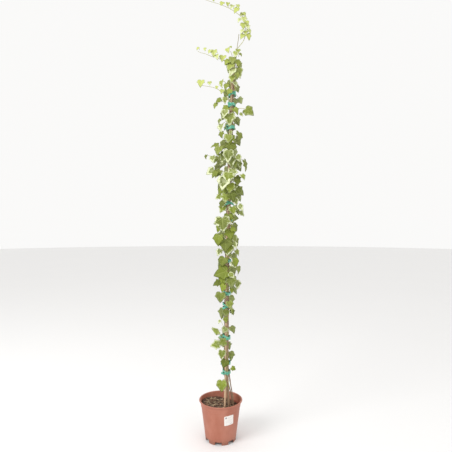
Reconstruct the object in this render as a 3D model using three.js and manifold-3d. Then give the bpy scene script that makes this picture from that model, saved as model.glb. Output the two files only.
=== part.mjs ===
// A climbing ivy trained up two bamboo canes, in a plastic nursery pot of 17 cm.
// Millimetres, +Z up. The pot's axis is Z and it stands on Z = 0; the plant is seen from -Y.
//
// Each piece is a mesh of its own: pot, soil, label, canes, ties, four woody stems, and the
// leafy shoots. A leafy shoot is one grown piece, a twig with its petioles and leaves.

import * as THREE from "three";
import { mergeVertices } from "three/addons/utils/BufferGeometryUtils.js";
import Module from "manifold-3d";

const wasm = await Module();
wasm.setup();

const CLEARANCE = 0.35; // between pieces that touch
const STEM_GAP = 0.9; // between the stems and the canes
const FINEST = [0.04, 0.06, 0.025, 0.09, 0.015, 0.13, 0.18]; // shortest edges kept, the first that works

// ---------------------------------------------------------------- driving dimensions

const POT = {
  height: 156,
  footRadius: 60,
  shoulderRadius: 77, // outside of the wall, just under the shoulder
  shoulderBelow: 26, // from the rim's top down to the stacking shoulder
  shoulderStep: 1.2,
  rimRadius: 86,
  rimHeight: 5,
  wall: 1.6,
  floorHeight: 8, // underside of the floor
  notches: 7,
  notchWidth: 26,
  notchHeight: 12,
  notchTurn: -8.9, // degrees from the front to the first notch
  ribWidth: 2,
  padRadius: 11, // central foot pad under the floor
  sides: 42,
};

const SOIL = {
  below: 23, // from the rim's top down to the soil, at the pot's axis
  slope: -0.15, // the top falls towards +X
  bumps: 2.5,
  rings: 4,
  sides: 22,
};

const LABEL = {
  width: 39,
  height: 38,
  thickness: 0.4,
  azimuth: 26.5, // degrees from the front
  below: 11, // from the shoulder down to its top edge
  turn: 4,
};

// Each cane's route is a list of points on its centreline, foot to tip.
const CANES = {
  bamboo_cane_left: {
    route: [
      [13, -21, 20], [20, -7, 266], [22, -6, 600], [28, -6, 900], [36, -6, 1200], [43, -6, 1400],
      [47, -7, 1512],
    ],
    footRadius: 4.6,
    tipRadius: 3.5,
    joints: 6,
  },
  bamboo_cane_right: {
    route: [
      [40, 2, 20], [26, 5, 266], [26, 6, 600], [33, 6, 900], [42, 6, 1200], [50, 6, 1400],
      [56, 5, 1532],
    ],
    footRadius: 4.5,
    tipRadius: 3.3,
    joints: 7,
  },
};
const CANE_SIDES = 7;
const JOINT_SWELL = 0.7; // how far a bamboo joint stands proud
const JOINT_LENGTH = 7;

// The woody stems lie against the pair of canes, each on its own side of the pair's middle
// (turn, in degrees from +X), and sway a little to and fro as they climb.
const STEMS = {
  vine_stem_right: { turn: -13, foot: [50, -6], top: 1610, radius: 2, sway: 1, phase: 0 },
  vine_stem_left: { turn: 167, foot: [28, 16], top: 1490, radius: 2, sway: 1, phase: 2 },
  vine_stem_front: { turn: -74, foot: [32, -20], top: 1360, radius: 2.1, sway: 0.8, phase: 4 },
  vine_stem_back: { turn: 106, foot: [44, 17], top: 1520, radius: 2.1, sway: 0.8, phase: 1 },
};
const STEM = {
  sides: 5,
  step: 68,
  footShare: 1.25, // of the radius, at the foot
  tipShare: 0.6,
  wave: 40,
  depthInSoil: 34,
  gathered: 266, // height from which the stems run beside the canes
};

// Turquoise tape ties, by height, each with the side its tails leave from.
const TIES = {
  heights: [266, 303, 403, 527, 578, 708, 873, 938, 1238, 1327, 1371],
  length: 12,
  thickness: 0.9,
  depthShare: 1.18, // of the loop's width, front to back
  tailLength: 14,
  tailThickness: 1.2,
  sides: 8,
};

// Ivy leaf outline for a leaf one unit wide: [across, along] for one side, sinus to apex.
const LEAF = {
  outline: [[0, 0], [0.18, -0.16], [0.42, -0.07], [0.42, 0.12], [0.52, 0.3], [0.3, 0.45], [0, 0.84]],
  middle: 0.22, // the thickest point, along the midrib
  centre: 0.3, // the point of the blade that a leaf's x and z give
  droop: 0.34,
  thickness: 1.2,
  petioleRadius: 1,
  petioleSteps: 3,
  petioleEnd: 7, // how far before the blade a petiole turns into line with it
  petioleTilt: 38, // degrees between the petiole's end and the blade, from behind
};
const TWIG = { radius: 1.6, sides: 4, length: 30, stemGap: 0.6, below: 18, lean: 1.5 };

// Leafy shoots on the woody stems, from the bottom up. Each leaf is
// [x, z, width, roll, yaw, pitch]: where the blade's middle is seen from the front, its width,
// the way its apex hangs (0 down, 90 to +X), and the way its face looks (0, 0 is to -Y).
const FRONT_SPRAYS = [
  [[5, 226, 49, 0, -8, 12], [50, 290, 23, 60, 20, 10], [16, 310, 36, -20, 0, 22]],
  [[5, 346, 40, 0, -10, 18], [44, 338, 25, 80, 10, 78], [-21, 375, 42, -80, -12, 34],
    [20, 380, 49, 5, 8, 12]],
  [[16, 439, 29, -30, 10, 20], [-22, 431, 49, -62, -38, -34], [-5, 468, 17, -20, -20, 30],
    [20, 476, 26, 4, 5, 10]],
  [[20, 506, 32, 0, 25, 15], [45, 513, 32, 8, 72, 5], [35, 540, 35, 10, 18, 12],
    [46, 506, 26, 20, 20, 16]],
  [[0, 568, 45, -5, -8, 10], [43, 592, 27, 10, 40, 12], [-13, 618, 39, -78, -18, 40],
    [12, 636, 47, -10, -14, 16]],
  [[29, 629, 52, 4, 4, 14], [65, 613, 41, 8, 50, 8], [5, 662, 64, -74, -4, 24],
    [43, 654, 31, 48, 20, 25], [-2, 606, 34, -24, -30, 14]],
  [[70, 670, 41, 4, 60, 6], [57, 704, 43, 6, 38, 12], [10, 708, 43, -16, -18, 14],
    [52, 696, 32, 30, 24, 18]],
  [[-6, 742, 32, -20, -25, 20], [32, 746, 37, 12, 0, 32], [20, 775, 59, 0, 0, 14],
    [52, 794, 38, 20, 34, 16], [28, 756, 50, -6, 2, 18], [66, 740, 30, 36, 40, 16]],
  [[-8, 794, 50, -6, -28, 12], [49, 832, 29, 58, 15, 24], [8, 856, 67, 5, -5, 18],
    [36, 816, 50, 10, 10, 16], [30, 876, 47, -4, 6, 20], [54, 772, 32, 24, 20, 24]],
  [[48, 908, 40, 10, 12, 16], [66, 918, 34, 40, 22, 20],
    [83, 894, 27, 60, 30, 28], [-6, 836, 34, -26, -24, 16]],
  [[9, 935, 32, -4, -8, 25], [19, 956, 41, -10, 0, 10], [-8, 960, 31, -62, -16, 28],
    [70, 958, 20, 30, 48, 10], [45, 962, 45, 12, 14, 16], [6, 914, 36, -30, -20, 18]],
  [[73, 984, 46, 55, 20, 22], [55, 1001, 32, 0, 10, 26], [20, 986, 37, -20, -14, 20],
    [6, 1014, 60, -14, -12, 14], [36, 996, 49, -8, 4, 18], [4, 930, 32, -30, -26, 20],
    [58, 944, 34, 26, 24, 18]],
  [[52, 1022, 33, 0, 14, 14], [88, 1038, 27, 30, 30, 18], [47, 1054, 45, 0, 6, 12],
    [22, 1044, 30, -10, -10, 30], [30, 1036, 50, -4, -4, 14], [0, 984, 36, -34, -24, 16]],
  [[-11, 1055, 42, -40, -24, 20], [-40, 1063, 41, -64, -12, 14],
    [74, 1088, 31, 10, 32, 12], [66, 1030, 34, 30, 26, 18]],
  [[54, 1088, 34, 20, 10, 22], [98, 1088, 52, 34, 64, 8], [-32, 1108, 31, 10, -22, 12],
    [-58, 1122, 21, 0, -40, 20], [40, 1098, 50, 8, 6, 16], [-24, 1050, 34, -40, -22, 18]],
  [[-4, 1122, 20, 0, -6, 30], [30, 1120, 59, -5, -5, 12], [12, 1116, 47, -20, -12, 18],
    [70, 1112, 34, 34, 30, 14],    [6, 1098, 34, -30, -14, 20]],
  [[-9, 1142, 41, -12, -20, 18], [57, 1157, 30, 4, 60, 8], [12, 1156, 29, -70, -5, 36],
    [-22, 1165, 37, -84, -14, 48], [40, 1154, 49, 0, 4, 14], [-18, 1108, 32, -40, -24, 18]],
  [[30, 1189, 40, -5, 2, 12], [3, 1208, 29, 10, -40, 10], [74, 1204, 41, -20, 44, 12],
    [40, 1214, 17, 20, 10, 20], [20, 1184, 47, -10, -8, 16]],
  [[1, 1236, 38, 0, -42, 12], [34, 1266, 56, 0, 0, 12], [-4, 1262, 27, -10, -40, 22],
    [16, 1286, 38, -16, -12, 18]],
  [[58, 1298, 35, 30, 18, 24], [82, 1288, 19, 60, 24, 20], [112, 1303, 47, 52, 0, 10],
    [19, 1308, 32, -60, -6, 26]],
  [[-22, 1326, 26, -20, -30, 14], [-9, 1344, 32, -60, -20, 24], [17, 1344, 30, 0, -10, 12]],
  [[34, 1372, 30, -30, -4, 20], [3, 1412, 34, 14, -50, 10], [45, 1428, 37, -10, -8, 12],
    [70, 1430, 28, 10, 28, 14]],
  [[44, 1451, 41, -20, -6, 12], [70, 1454, 48, 20, 14, 12], [37, 1472, 41, -22, -14, 20],
    [25, 1490, 30, -32, -20, 26], [22, 1398, 28, -20, -20, 18], [58, 1404, 26, 20, 20, 18]],
  [[46, 1494, 35, 0, 0, 14], [66, 1488, 32, 20, 20, 18], [58, 1518, 30, -10, 4, 14],
    [68, 1536, 22, 0, 10, 20], [79, 1524, 17, 30, 30, 20]],
];

// The far side is filled in the same way, with leaves that look to +Y.
const BACK_SPRAYS = [
  [[38, 324, 43, 8, 170, 15], [12, 386, 48, -14, 196, 18], [46, 426, 36, 30, 158, 20],
    [30, 360, 34, 20, 184, 16]],
  [[8, 494, 46, -16, 200, 14], [36, 542, 53, 6, 176, 16], [54, 585, 36, 38, 150, 24],
    [27, 525, 34, 24, 170, 20]],
  [[14, 622, 50, -10, 192, 14], [44, 666, 55, 12, 168, 16], [2, 694, 41, -48, 208, 26],
    [20, 650, 40, -20, 190, 22]],
  [[30, 746, 60, 0, 180, 14], [58, 784, 43, 34, 150, 20], [4, 806, 48, -30, 204, 18],
    [52, 720, 38, 24, 160, 18], [-4, 664, 34, -30, 214, 18]],
  [[36, 862, 58, 8, 174, 14], [64, 910, 41, 36, 146, 22],
    [56, 842, 38, 30, 158, 18], [-4, 782, 36, -30, 212, 18]],
  [[28, 962, 60, -4, 184, 12], [60, 996, 46, 24, 154, 16], [2, 1016, 46, -40, 206, 24],
    [14, 936, 40, -20, 190, 18], [-8, 868, 36, -34, 214, 20]],
  [[38, 1064, 62, 4, 176, 14], [72, 1086, 43, 40, 144, 20], [2, 1104, 53, -24, 200, 16],
    [32, 1033, 44, 2, 172, 18], [70, 960, 36, 40, 148, 20]],
  [[48, 1144, 55, 10, 170, 14], [12, 1174, 46, -30, 204, 22], [68, 1190, 41, 34, 150, 20],
    [52, 1106, 42, 16, 166, 18], [-16, 1080, 36, -30, 210, 18]],
  [[36, 1240, 50, -6, 182, 14], [66, 1266, 38, 28, 152, 20], [14, 1294, 38, -26, 206, 24]],
  [[50, 1346, 43, 4, 176, 14], [22, 1380, 34, -30, 206, 22], [66, 1404, 34, 24, 152, 18]],
  [[56, 1450, 41, 0, 178, 14], [36, 1482, 36, -24, 204, 20], [76, 1494, 29, 36, 150, 24],
    [40, 1420, 34, -8, 186, 18], [78, 1350, 30, 30, 150, 20]],
];

// Young free shoots, each on its own route, with leaves close along it.
const FREE_SHOOTS = {
  leader_shoot: {
    route: [
      [60, -7, 1543], [76, -8, 1562], [91, -8, 1582], [99, -10, 1612], [95, -10, 1643], [82, -10, 1674],
      [61, -11, 1691], [36, -12, 1707], [7, -13, 1719], [-14, -14, 1726], [-42, -15, 1734], [-64, -16, 1741],
    ],
    leaves: [
      [86, 1597, 27, -30, -10, 16], [109, 1595, 32, 12, 20, 14], [98, 1612, 27, 4, 0, 30],
      [106, 1630, 26, 24, 24, 20], [90, 1640, 29, 0, -6, 14], [92, 1662, 29, 10, 4, 12],
      [78, 1678, 29, -6, 0, 24], [61, 1694, 29, -30, -8, 18], [45, 1710, 25, -24, -6, 30],
      [5, 1722, 21, -20, 0, 20], [-29, 1739, 21, 10, 0, 26], [-63, 1743, 12, -60, 0, 20],
      [112, 1616, 24, 30, 26, 18], [84, 1616, 22, -24, -20, 24], [104, 1646, 22, 20, 20, 18],
      [74, 1660, 22, -30, -16, 20], [92, 1684, 22, 24, 14, 26], [68, 1712, 22, 10, 8, 26],
      [28, 1718, 20, -10, 0, 22],
    ],
  },
  side_shoot_upper: {
    route: [
      [30, -1, 1490], [14, -10, 1500], [-8, -18, 1507], [-37, -22, 1514], [-61, -24, 1523],
      [-80, -25, 1527], [-90, -26, 1533],
    ],
    leaves: [
      [8, 1508, 30, -10, -8, 20], [-15, 1509, 24, 16, -14, 12], [-27, 1525, 32, -4, -10, 16],
      [-43, 1529, 21, -20, -16, 24], [-62, 1539, 18, 0, -10, 20], [-89, 1539, 16, -30, -14, 24],
    ],
  },
  side_shoot_lower: {
    route: [
      [32, -24, 1356], [18, -32, 1362], [2, -38, 1368], [-9, -40, 1377], [-31, -42, 1385],
      [-56, -43, 1389], [-74, -44, 1392],
    ],
    leaves: [
      [6, 1368, 22, -20, -12, 24], [-15, 1382, 15, -10, -8, 20], [-43, 1399, 20, 6, -10, 22],
      [-76, 1398, 32, -8, -14, 16],
    ],
  },
  top_shoot: {
    route: [[46, 22, 1523], [45, 16, 1534], [41, 10, 1543], [36, 6, 1547]],
    leaves: [[28, 1546, 25, 18, -20, 14], [40, 1556, 11, 30, 0, 20]],
  },
};
const FREE_TWIG = { radius: 1.5, tipRadius: 0.8, step: 18 };

// ---------------------------------------------------------------- solids

const vector = (p) => new THREE.Vector3(...p);
const radians = THREE.MathUtils.degToRad;

function solidOf(geometry) {
  const bare = geometry.clone();
  for (const name of ["normal", "uv"]) bare.deleteAttribute(name);
  const merged = mergeVertices(bare, 1e-4);
  return new wasm.Manifold(
    new wasm.Mesh({
      numProp: 3,
      vertProperties: merged.attributes.position.array,
      triVerts: new Uint32Array(merged.index.array),
    }),
  );
}

function geometryOf(solid) {
  const mesh = solid.getMesh();
  const positions = new Float32Array(mesh.numVert * 3);
  for (let i = 0; i < mesh.numVert; i++) {
    positions.set(mesh.vertProperties.subarray(i * mesh.numProp, i * mesh.numProp + 3), i * 3);
  }
  return new THREE.BufferGeometry()
    .setAttribute("position", new THREE.BufferAttribute(positions, 3))
    .setIndex(new THREE.BufferAttribute(mesh.triVerts, 1));
}

const join = (solids) => solids.reduce((whole, next) => whole.add(next));

// Merges points closer together than finest, which joins leave where surfaces barely cross.
// Returns null where that would leave an edge with more than two faces.
function weld(solid, finest) {
  const mesh = solid.getMesh();
  const points = Array.from({ length: mesh.numVert }, (_, i) => {
    return new THREE.Vector3().fromArray(mesh.vertProperties, i * mesh.numProp);
  });
  const kept = [];
  points.forEach((point, i) => {
    const near = points.findIndex((other) => other.distanceTo(point) < finest);
    kept.push(near < i ? kept[near] : i);
  });
  const index = [];
  const faces = new Map();
  for (let i = 0; i < mesh.triVerts.length; i += 3) {
    const corners = [...mesh.triVerts.subarray(i, i + 3)].map((corner) => kept[corner]);
    if (new Set(corners).size < 3) continue;
    index.push(...corners);
    corners.forEach((corner, side) => {
      const edge = [corner, corners[(side + 1) % 3]].sort((a, b) => a - b).join();
      faces.set(edge, (faces.get(edge) ?? 0) + 1);
    });
  }
  if ([...faces.values()].some((count) => count !== 2)) return null;
  return solidOf(new THREE.BufferGeometry().setFromPoints(points).setIndex(index));
}

// A joined piece's main body, with its finest edges merged away.
function tidy(solid) {
  const largest = (whole) =>
    whole.decompose().reduce((most, next) => (next.volume() > most.volume() ? next : most));
  const whole = largest(solid.asOriginal());
  for (const finest of FINEST) {
    const welded = weld(largest(whole.simplify(finest)), finest) ?? weld(whole, finest);
    if (welded) return welded;
  }
  return whole;
}

function fromRings(rings, startPoint, endPoint) {
  const sides = rings[0].length;
  const points = [...rings.flat(), startPoint, endPoint];
  const index = [];
  rings.slice(1).forEach((_, ring) => {
    for (let side = 0; side < sides; side++) {
      const a = ring * sides + side;
      const b = ring * sides + ((side + 1) % sides);
      index.push(a, b, a + sides, b, b + sides, a + sides);
    }
  });
  const last = (rings.length - 1) * sides;
  for (let side = 0; side < sides; side++) {
    const next = (side + 1) % sides;
    index.push(rings.length * sides, next, side);
    index.push(rings.length * sides + 1, last + side, last + next);
  }
  return new THREE.BufferGeometry().setFromPoints(points).setIndex(index);
}

// A closed tube along a curve, with a ring of points at each share in stations.
function tube(curve, stations, sides, radiusAt) {
  const frames = curve.computeFrenetFrames(stations.length - 1, false);
  let side = frames.normals[0].clone();
  const rings = stations.map((share) => {
    const centre = curve.getPointAt(share);
    const along = curve.getTangentAt(share);
    side = side.clone().addScaledVector(along, -side.dot(along)).normalize();
    const across = new THREE.Vector3().crossVectors(along, side);
    return Array.from({ length: sides }, (_, i) => {
      const angle = (i / sides) * 2 * Math.PI;
      return centre
        .clone()
        .addScaledVector(side, Math.cos(angle) * radiusAt(share))
        .addScaledVector(across, Math.sin(angle) * radiusAt(share));
    });
  });
  return fromRings(rings, curve.getPointAt(stations[0]), curve.getPointAt(stations.at(-1)));
}

const evenly = (steps) => Array.from({ length: steps + 1 }, (_, i) => i / steps);

// ---------------------------------------------------------------- pot, soil and label

const shoulderHeight = POT.height - POT.shoulderBelow;

// Outside radius of the pot's wall at a height, without the rim.
function wallRadius(z) {
  const rise = (POT.shoulderRadius - POT.footRadius) / shoulderHeight;
  return POT.footRadius + rise * z + (z > shoulderHeight ? POT.shoulderStep : 0);
}

function potSolid() {
  const { height, wall, rimRadius, rimHeight, floorHeight } = POT;
  const shoulder = shoulderHeight;
  const inner = (z) => wallRadius(z) - wall;
  const profile = [
    [0, 0], [POT.padRadius, 0], [POT.padRadius, floorHeight], [inner(floorHeight), floorHeight],
    [inner(0), 0], [wallRadius(0), 0], [wallRadius(shoulder), shoulder],
    [wallRadius(shoulder + 1.5), shoulder + 1.5], [wallRadius(height - rimHeight), height - rimHeight],
    [rimRadius - 1, height - rimHeight], [rimRadius, height - rimHeight / 2], [rimRadius - 1, height],
    [inner(height), height], [inner(shoulder + 1.5), shoulder + 1.5], [inner(shoulder), shoulder],
    [inner(floorHeight + wall), floorHeight + wall], [0, floorHeight + wall],
  ].map(([r, z]) => new THREE.Vector2(r, z));
  const lathe = new THREE.LatheGeometry(profile, POT.sides).rotateX(Math.PI / 2);
  let pot = solidOf(lathe);
  const reach = POT.footRadius * 1.4;
  for (let i = 0; i < POT.notches; i++) {
    const turn = radians(POT.notchTurn - 90 + (i * 360) / POT.notches);
    const rib = new THREE.BoxGeometry(inner(0) - POT.padRadius + 1.7 * wall, POT.ribWidth, floorHeight);
    rib.translate((inner(0) + POT.padRadius) / 2, 0, floorHeight / 2 + wall / 3);
    rib.rotateZ(turn + Math.PI / POT.notches);
    pot = pot.add(solidOf(rib));
    const notch = new THREE.BoxGeometry(reach - inner(0) + 6, POT.notchWidth, POT.notchHeight + 2);
    notch.translate((reach + inner(0) - 6) / 2, 0, POT.notchHeight / 2 - 1);
    pot = pot.subtract(solidOf(notch.rotateZ(turn)));
  }
  return pot;
}

// The soil's top, with a slope and low bumps.
function soilHeight(x, y) {
  const bump = Math.sin(x * 0.11 + 1) * Math.cos(y * 0.13) + 0.6 * Math.sin(x * 0.05 - y * 0.07);
  return POT.height - SOIL.below + SOIL.slope * x + SOIL.bumps * bump;
}

function soilSolid() {
  const insideAt = (z) => wallRadius(z) - POT.wall - CLEARANCE;
  const floor = POT.floorHeight + POT.wall + CLEARANCE;
  const ring = (share) =>
    Array.from({ length: SOIL.sides }, (_, i) => {
      const angle = (i / SOIL.sides) * 2 * Math.PI;
      const direction = [Math.cos(angle), Math.sin(angle)];
      const level = soilHeight(...direction.map((part) => part * POT.shoulderRadius));
      const edge = insideAt(Math.min(level, shoulderHeight) - 2) * Math.cos(Math.PI / POT.sides);
      const [x, y] = direction.map((part) => part * edge * share);
      return new THREE.Vector3(x, y, soilHeight(x, y));
    });
  const foot = Array.from({ length: SOIL.sides }, (_, i) => {
    const angle = (i / SOIL.sides) * 2 * Math.PI;
    const radius = (POT.footRadius - POT.wall - 6.5 - CLEARANCE) * Math.cos(Math.PI / POT.sides);
    return new THREE.Vector3(Math.cos(angle) * radius, Math.sin(angle) * radius, floor);
  });
  const rings = [foot, ...Array.from({ length: SOIL.rings }, (_, i) => ring(1 - i / SOIL.rings))];
  return solidOf(fromRings(rings, new THREE.Vector3(0, 0, floor), new THREE.Vector3(0, 0, soilHeight(0, 0))));
}

// A sticker bent round the wall, a little askew.
function labelSolid() {
  const steps = 6;
  const shift = radians(LABEL.turn);
  const middle = shoulderHeight - LABEL.below - LABEL.height / 2;
  const rings = [];
  for (let i = 0; i <= steps; i++) {
    const along = (i / steps - 0.5) * LABEL.width;
    const corner = (up, out) => {
      const across = along * Math.cos(shift) - up * Math.sin(shift);
      const z = middle + up * Math.cos(shift) + along * Math.sin(shift);
      const radius = wallRadius(z) + CLEARANCE + out;
      const angle = radians(LABEL.azimuth - 90) + across / radius;
      return new THREE.Vector3(Math.cos(angle) * radius, Math.sin(angle) * radius, z);
    };
    const half = LABEL.height / 2;
    const outer = [corner(half, LABEL.thickness), corner(-half, LABEL.thickness)];
    rings.push([corner(-half, 0), corner(half, 0), ...outer]);
  }
  const centreOf = (ring) => {
    const sum = ring.reduce((total, point) => total.add(point), new THREE.Vector3());
    return sum.divideScalar(ring.length);
  };
  return solidOf(fromRings(rings, centreOf(rings[0]), centreOf(rings.at(-1))));
}

// ---------------------------------------------------------------- canes, stems and ties

const routeOf = (points) => new THREE.CatmullRomCurve3(points.map(vector), false, "centripetal");
const caneCurves = Object.values(CANES).map((cane) => routeOf(cane.route));

// The point of a nearly upright curve at a height.
function atHeight(curve, z) {
  let [low, high] = [0, 1];
  for (let i = 0; i < 30; i++) {
    const middle = (low + high) / 2;
    if (curve.getPoint(middle).z < z) low = middle;
    else high = middle;
  }
  return curve.getPoint(low);
}

// The middle of the pair of canes, which the stems and ties go round. Above them it carries on.
function bundleAt(z) {
  const level = THREE.MathUtils.clamp(z, 21, CANES.bamboo_cane_left.route.at(-1)[2] - 1);
  const [left, right] = caneCurves.map((curve) => atHeight(curve, level));
  return new THREE.Vector3((left.x + right.x) / 2 + (z - level) * 0.12, (left.y + right.y) / 2, z);
}

function caneSolid(cane, extra = 0) {
  const curve = routeOf(cane.route);
  const half = JOINT_LENGTH / 2 / curve.getLength();
  const stations = [0];
  for (let i = 1; i <= cane.joints; i++) {
    const at = i / (cane.joints + 1);
    stations.push(at - half, at, at + half);
  }
  stations.push(1);
  const joint = new Set(stations.filter((_, i) => i % 3 === 2 && i < stations.length - 1));
  const radiusAt = (share) => {
    const swell = joint.has(share) ? JOINT_SWELL : 0;
    return THREE.MathUtils.lerp(cane.footRadius, cane.tipRadius, share) + swell + extra;
  };
  return solidOf(tube(curve, stations, CANE_SIDES, radiusAt));
}

// How far from the canes' middle a round thing lies against the canes, on one side.
function besideCanes(z, direction, radius) {
  const level = THREE.MathUtils.clamp(z, 21, CANES.bamboo_cane_left.route.at(-1)[2] - 1);
  const middle = bundleAt(level);
  const reaches = Object.values(CANES).map((cane, i) => {
    const offset = atHeight(caneCurves[i], level).sub(middle);
    const along = offset.x * direction[0] + offset.y * direction[1];
    const apart = cane.footRadius + JOINT_SWELL + radius + STEM_GAP;
    const inside = apart ** 2 - offset.x ** 2 - offset.y ** 2 + along ** 2;
    return inside > 0 ? along + Math.sqrt(inside) : 0;
  });
  return Math.max(...reaches);
}

const stemRadius = (stem, share) => stem.radius * THREE.MathUtils.lerp(STEM.footShare, STEM.tipShare, share);

function stemCurve(stem) {
  const points = [];
  const direction = [Math.cos(radians(stem.turn)), Math.sin(radians(stem.turn))];
  const low = soilHeight(...stem.foot) - STEM.depthInSoil;
  for (const z of [low, low + STEM.depthInSoil + 25]) points.push(new THREE.Vector3(...stem.foot, z));
  const steps = Math.ceil((stem.top - STEM.gathered) / (STEM.step * 2));
  for (let i = 0; i <= steps; i++) {
    const z = THREE.MathUtils.lerp(STEM.gathered, stem.top, i / steps);
    const sway = stem.sway * (1 + Math.sin(z / STEM.wave + stem.phase));
    const out = besideCanes(z, direction, stem.radius * STEM.footShare) + sway;
    const middle = bundleAt(z);
    points.push(new THREE.Vector3(middle.x + direction[0] * out, middle.y + direction[1] * out, z));
  }
  return new THREE.CatmullRomCurve3(points, false, "centripetal");
}

const stemCurves = Object.fromEntries(
  Object.entries(STEMS).map(([name, stem]) => [name, stemCurve(stem)]),
);

function stemSolid(name, extra = 0) {
  const curve = stemCurves[name];
  const steps = Math.round(curve.getLength() / STEM.step);
  const radiusAt = (share) => stemRadius(STEMS[name], share) + extra;
  return solidOf(tube(curve, evenly(steps), STEM.sides, radiusAt));
}

// Half of a tie's inside width: the least that clears the canes and stems over its length.
function tieReach(z) {
  const levels = [z - TIES.length, z, z + TIES.length];
  const inside = levels.flatMap((level) => {
    const middle = bundleAt(level);
    const canes = Object.values(CANES).map((cane, i) => {
      return [atHeight(caneCurves[i], level).sub(middle), cane.footRadius + JOINT_SWELL];
    });
    const stems = Object.entries(STEMS)
      .filter(([, stem]) => stem.top > level)
      .map(([name, stem]) => [atHeight(stemCurves[name], level).sub(middle), stem.radius * STEM.footShare]);
    return [...canes, ...stems];
  });
  const reaches = inside.map(([offset, radius]) => {
    return Math.hypot(offset.x, offset.y / TIES.depthShare) + radius + CLEARANCE;
  });
  return Math.max(...reaches) / Math.cos(Math.PI / (2 * TIES.sides));
}

// A loop of tape round canes and stems, with a flat knot and two tails.
function tieSolid(z, number, extra = 0) {
  const middle = bundleAt(z);
  const half = tieReach(z);
  const loop = (grow) => {
    const shape = new THREE.Shape();
    shape.absellipse(0, 0, half + grow, half * TIES.depthShare + grow, 0, 2 * Math.PI);
    return shape;
  };
  const band = loop(TIES.thickness + extra);
  band.holes.push(loop(-extra));
  const length = TIES.length + 2 * extra;
  const settings = { depth: length, bevelEnabled: false, curveSegments: TIES.sides };
  const ring = new THREE.ExtrudeGeometry(band, settings).translate(0, 0, -length / 2);
  const parts = [solidOf(ring)];
  const facing = number % 3 === 2 ? 200 : 268 + 9 * ((number % 4) - 1.5);
  for (const side of [-1, 1]) {
    const thin = [TIES.tailLength, TIES.tailThickness, TIES.length * 0.7];
    const size = thin.map((edge) => edge + 2 * extra);
    const tail = new THREE.BoxGeometry(...size);
    tail.translate(TIES.tailLength / 2 - 1, 0, 0).rotateY(radians(side > 0 ? 22 : -16));
    const out = radians(facing + side * 46);
    const at = radians(facing);
    const start = [Math.cos(at) * half, Math.sin(at) * half * TIES.depthShare];
    parts.push(solidOf(tail.rotateZ(out).translate(start[0] * 1.03, start[1] * 1.03, 0)));
  }
  return tidy(join(parts)).translate([middle.x, middle.y, z]);
}

// ---------------------------------------------------------------- leaves

// A leaf as placed: where its blade's middle is, the way its apex points and the way it faces.
function leafFrame([x, z, width, roll, yaw, pitch], y) {
  const [turn, tilt, hang] = [yaw, pitch, roll].map(radians);
  const face = new THREE.Vector3(
    Math.sin(turn) * Math.cos(tilt),
    -Math.cos(turn) * Math.cos(tilt),
    Math.sin(tilt),
  );
  const apex = new THREE.Vector3(Math.sin(hang), 0, -Math.cos(hang));
  apex.addScaledVector(face, -apex.dot(face)).normalize();
  const across = new THREE.Vector3().crossVectors(apex, face);
  const centre = new THREE.Vector3(x, y, z);
  const base = centre.clone().addScaledVector(apex, -LEAF.centre * width);
  return { centre, apex, face, across, base, width };
}

// A point of a leaf's blade: u across, v along the midrib and w above the blade, all in widths.
function onLeaf(leaf, u, v, lift = 0) {
  const sag = LEAF.droop * (u * u * 0.6 + (v - LEAF.middle) ** 2);
  return leaf.base
    .clone()
    .addScaledVector(leaf.across, u * leaf.width)
    .addScaledVector(leaf.apex, v * leaf.width)
    .addScaledVector(leaf.face, lift - sag * leaf.width);
}

// A leaf is one closed surface: a lens, thickest at one point on the midrib and thin at its
// outline, that runs on from its base into a three-sided petiole.
function leafSolid({ leaf, petiole }, extra = 0) {
  const grow = 1 + (3 * extra) / leaf.width;
  const radius = LEAF.petioleRadius + extra;
  const half = LEAF.outline.slice(1, -1);
  const outline = [...LEAF.outline.slice(1), ...half.toReversed().map(([u, v]) => [-u, v])];
  const blade = outline.map(([u, v]) => onLeaf(leaf, u * grow, (v - LEAF.middle) * grow + LEAF.middle));
  const turn = new THREE.Quaternion();
  let ahead = leaf.apex;
  const [across, up] = [leaf.across.clone(), leaf.face.clone()];
  const fromBlade = evenly(LEAF.petioleSteps).toReversed().map((share) => {
    const tangent = petiole.getTangent(share);
    turn.setFromUnitVectors(ahead, tangent);
    for (const side of [across, up]) side.applyQuaternion(turn);
    ahead = tangent;
    const wide = share < 1 ? across : leaf.across;
    const corner = (u, v) =>
      petiole.getPoint(share).addScaledVector(wide, u * radius).addScaledVector(up, v * radius);
    return [corner(0.87, 0.5), corner(0, -1), corner(-0.87, 0.5)];
  });
  const rings = fromBlade.toReversed();
  const points = [
    ...rings.flat(),
    ...blade,
    onLeaf(leaf, 0, LEAF.middle, LEAF.thickness / 2 + extra),
    onLeaf(leaf, 0, LEAF.middle, -LEAF.thickness / 2 - extra),
  ];
  const index = [0, 2, 1];
  for (let ring = 0; ring < LEAF.petioleSteps; ring++) {
    for (let side = 0; side < 3; side++) {
      const [a, b] = [ring * 3 + side, ring * 3 + ((side + 1) % 3)];
      index.push(a, b, a + 3, b, b + 3, a + 3);
    }
  }
  const [right, under, left] = [0, 1, 2].map((side) => LEAF.petioleSteps * 3 + side);
  const rim = [right, ...blade.map((_, i) => left + 1 + i), left];
  const [top, bottom] = [points.length - 2, points.length - 1];
  rim.slice(1).forEach((next, i) => index.push(top, rim[i], next, bottom, next, rim[i]));
  index.push(top, left, right, bottom, under, left, bottom, right, under);
  return solidOf(new THREE.BufferGeometry().setFromPoints(points).setIndex(index));
}

// ---------------------------------------------------------------- keeping pieces apart

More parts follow.
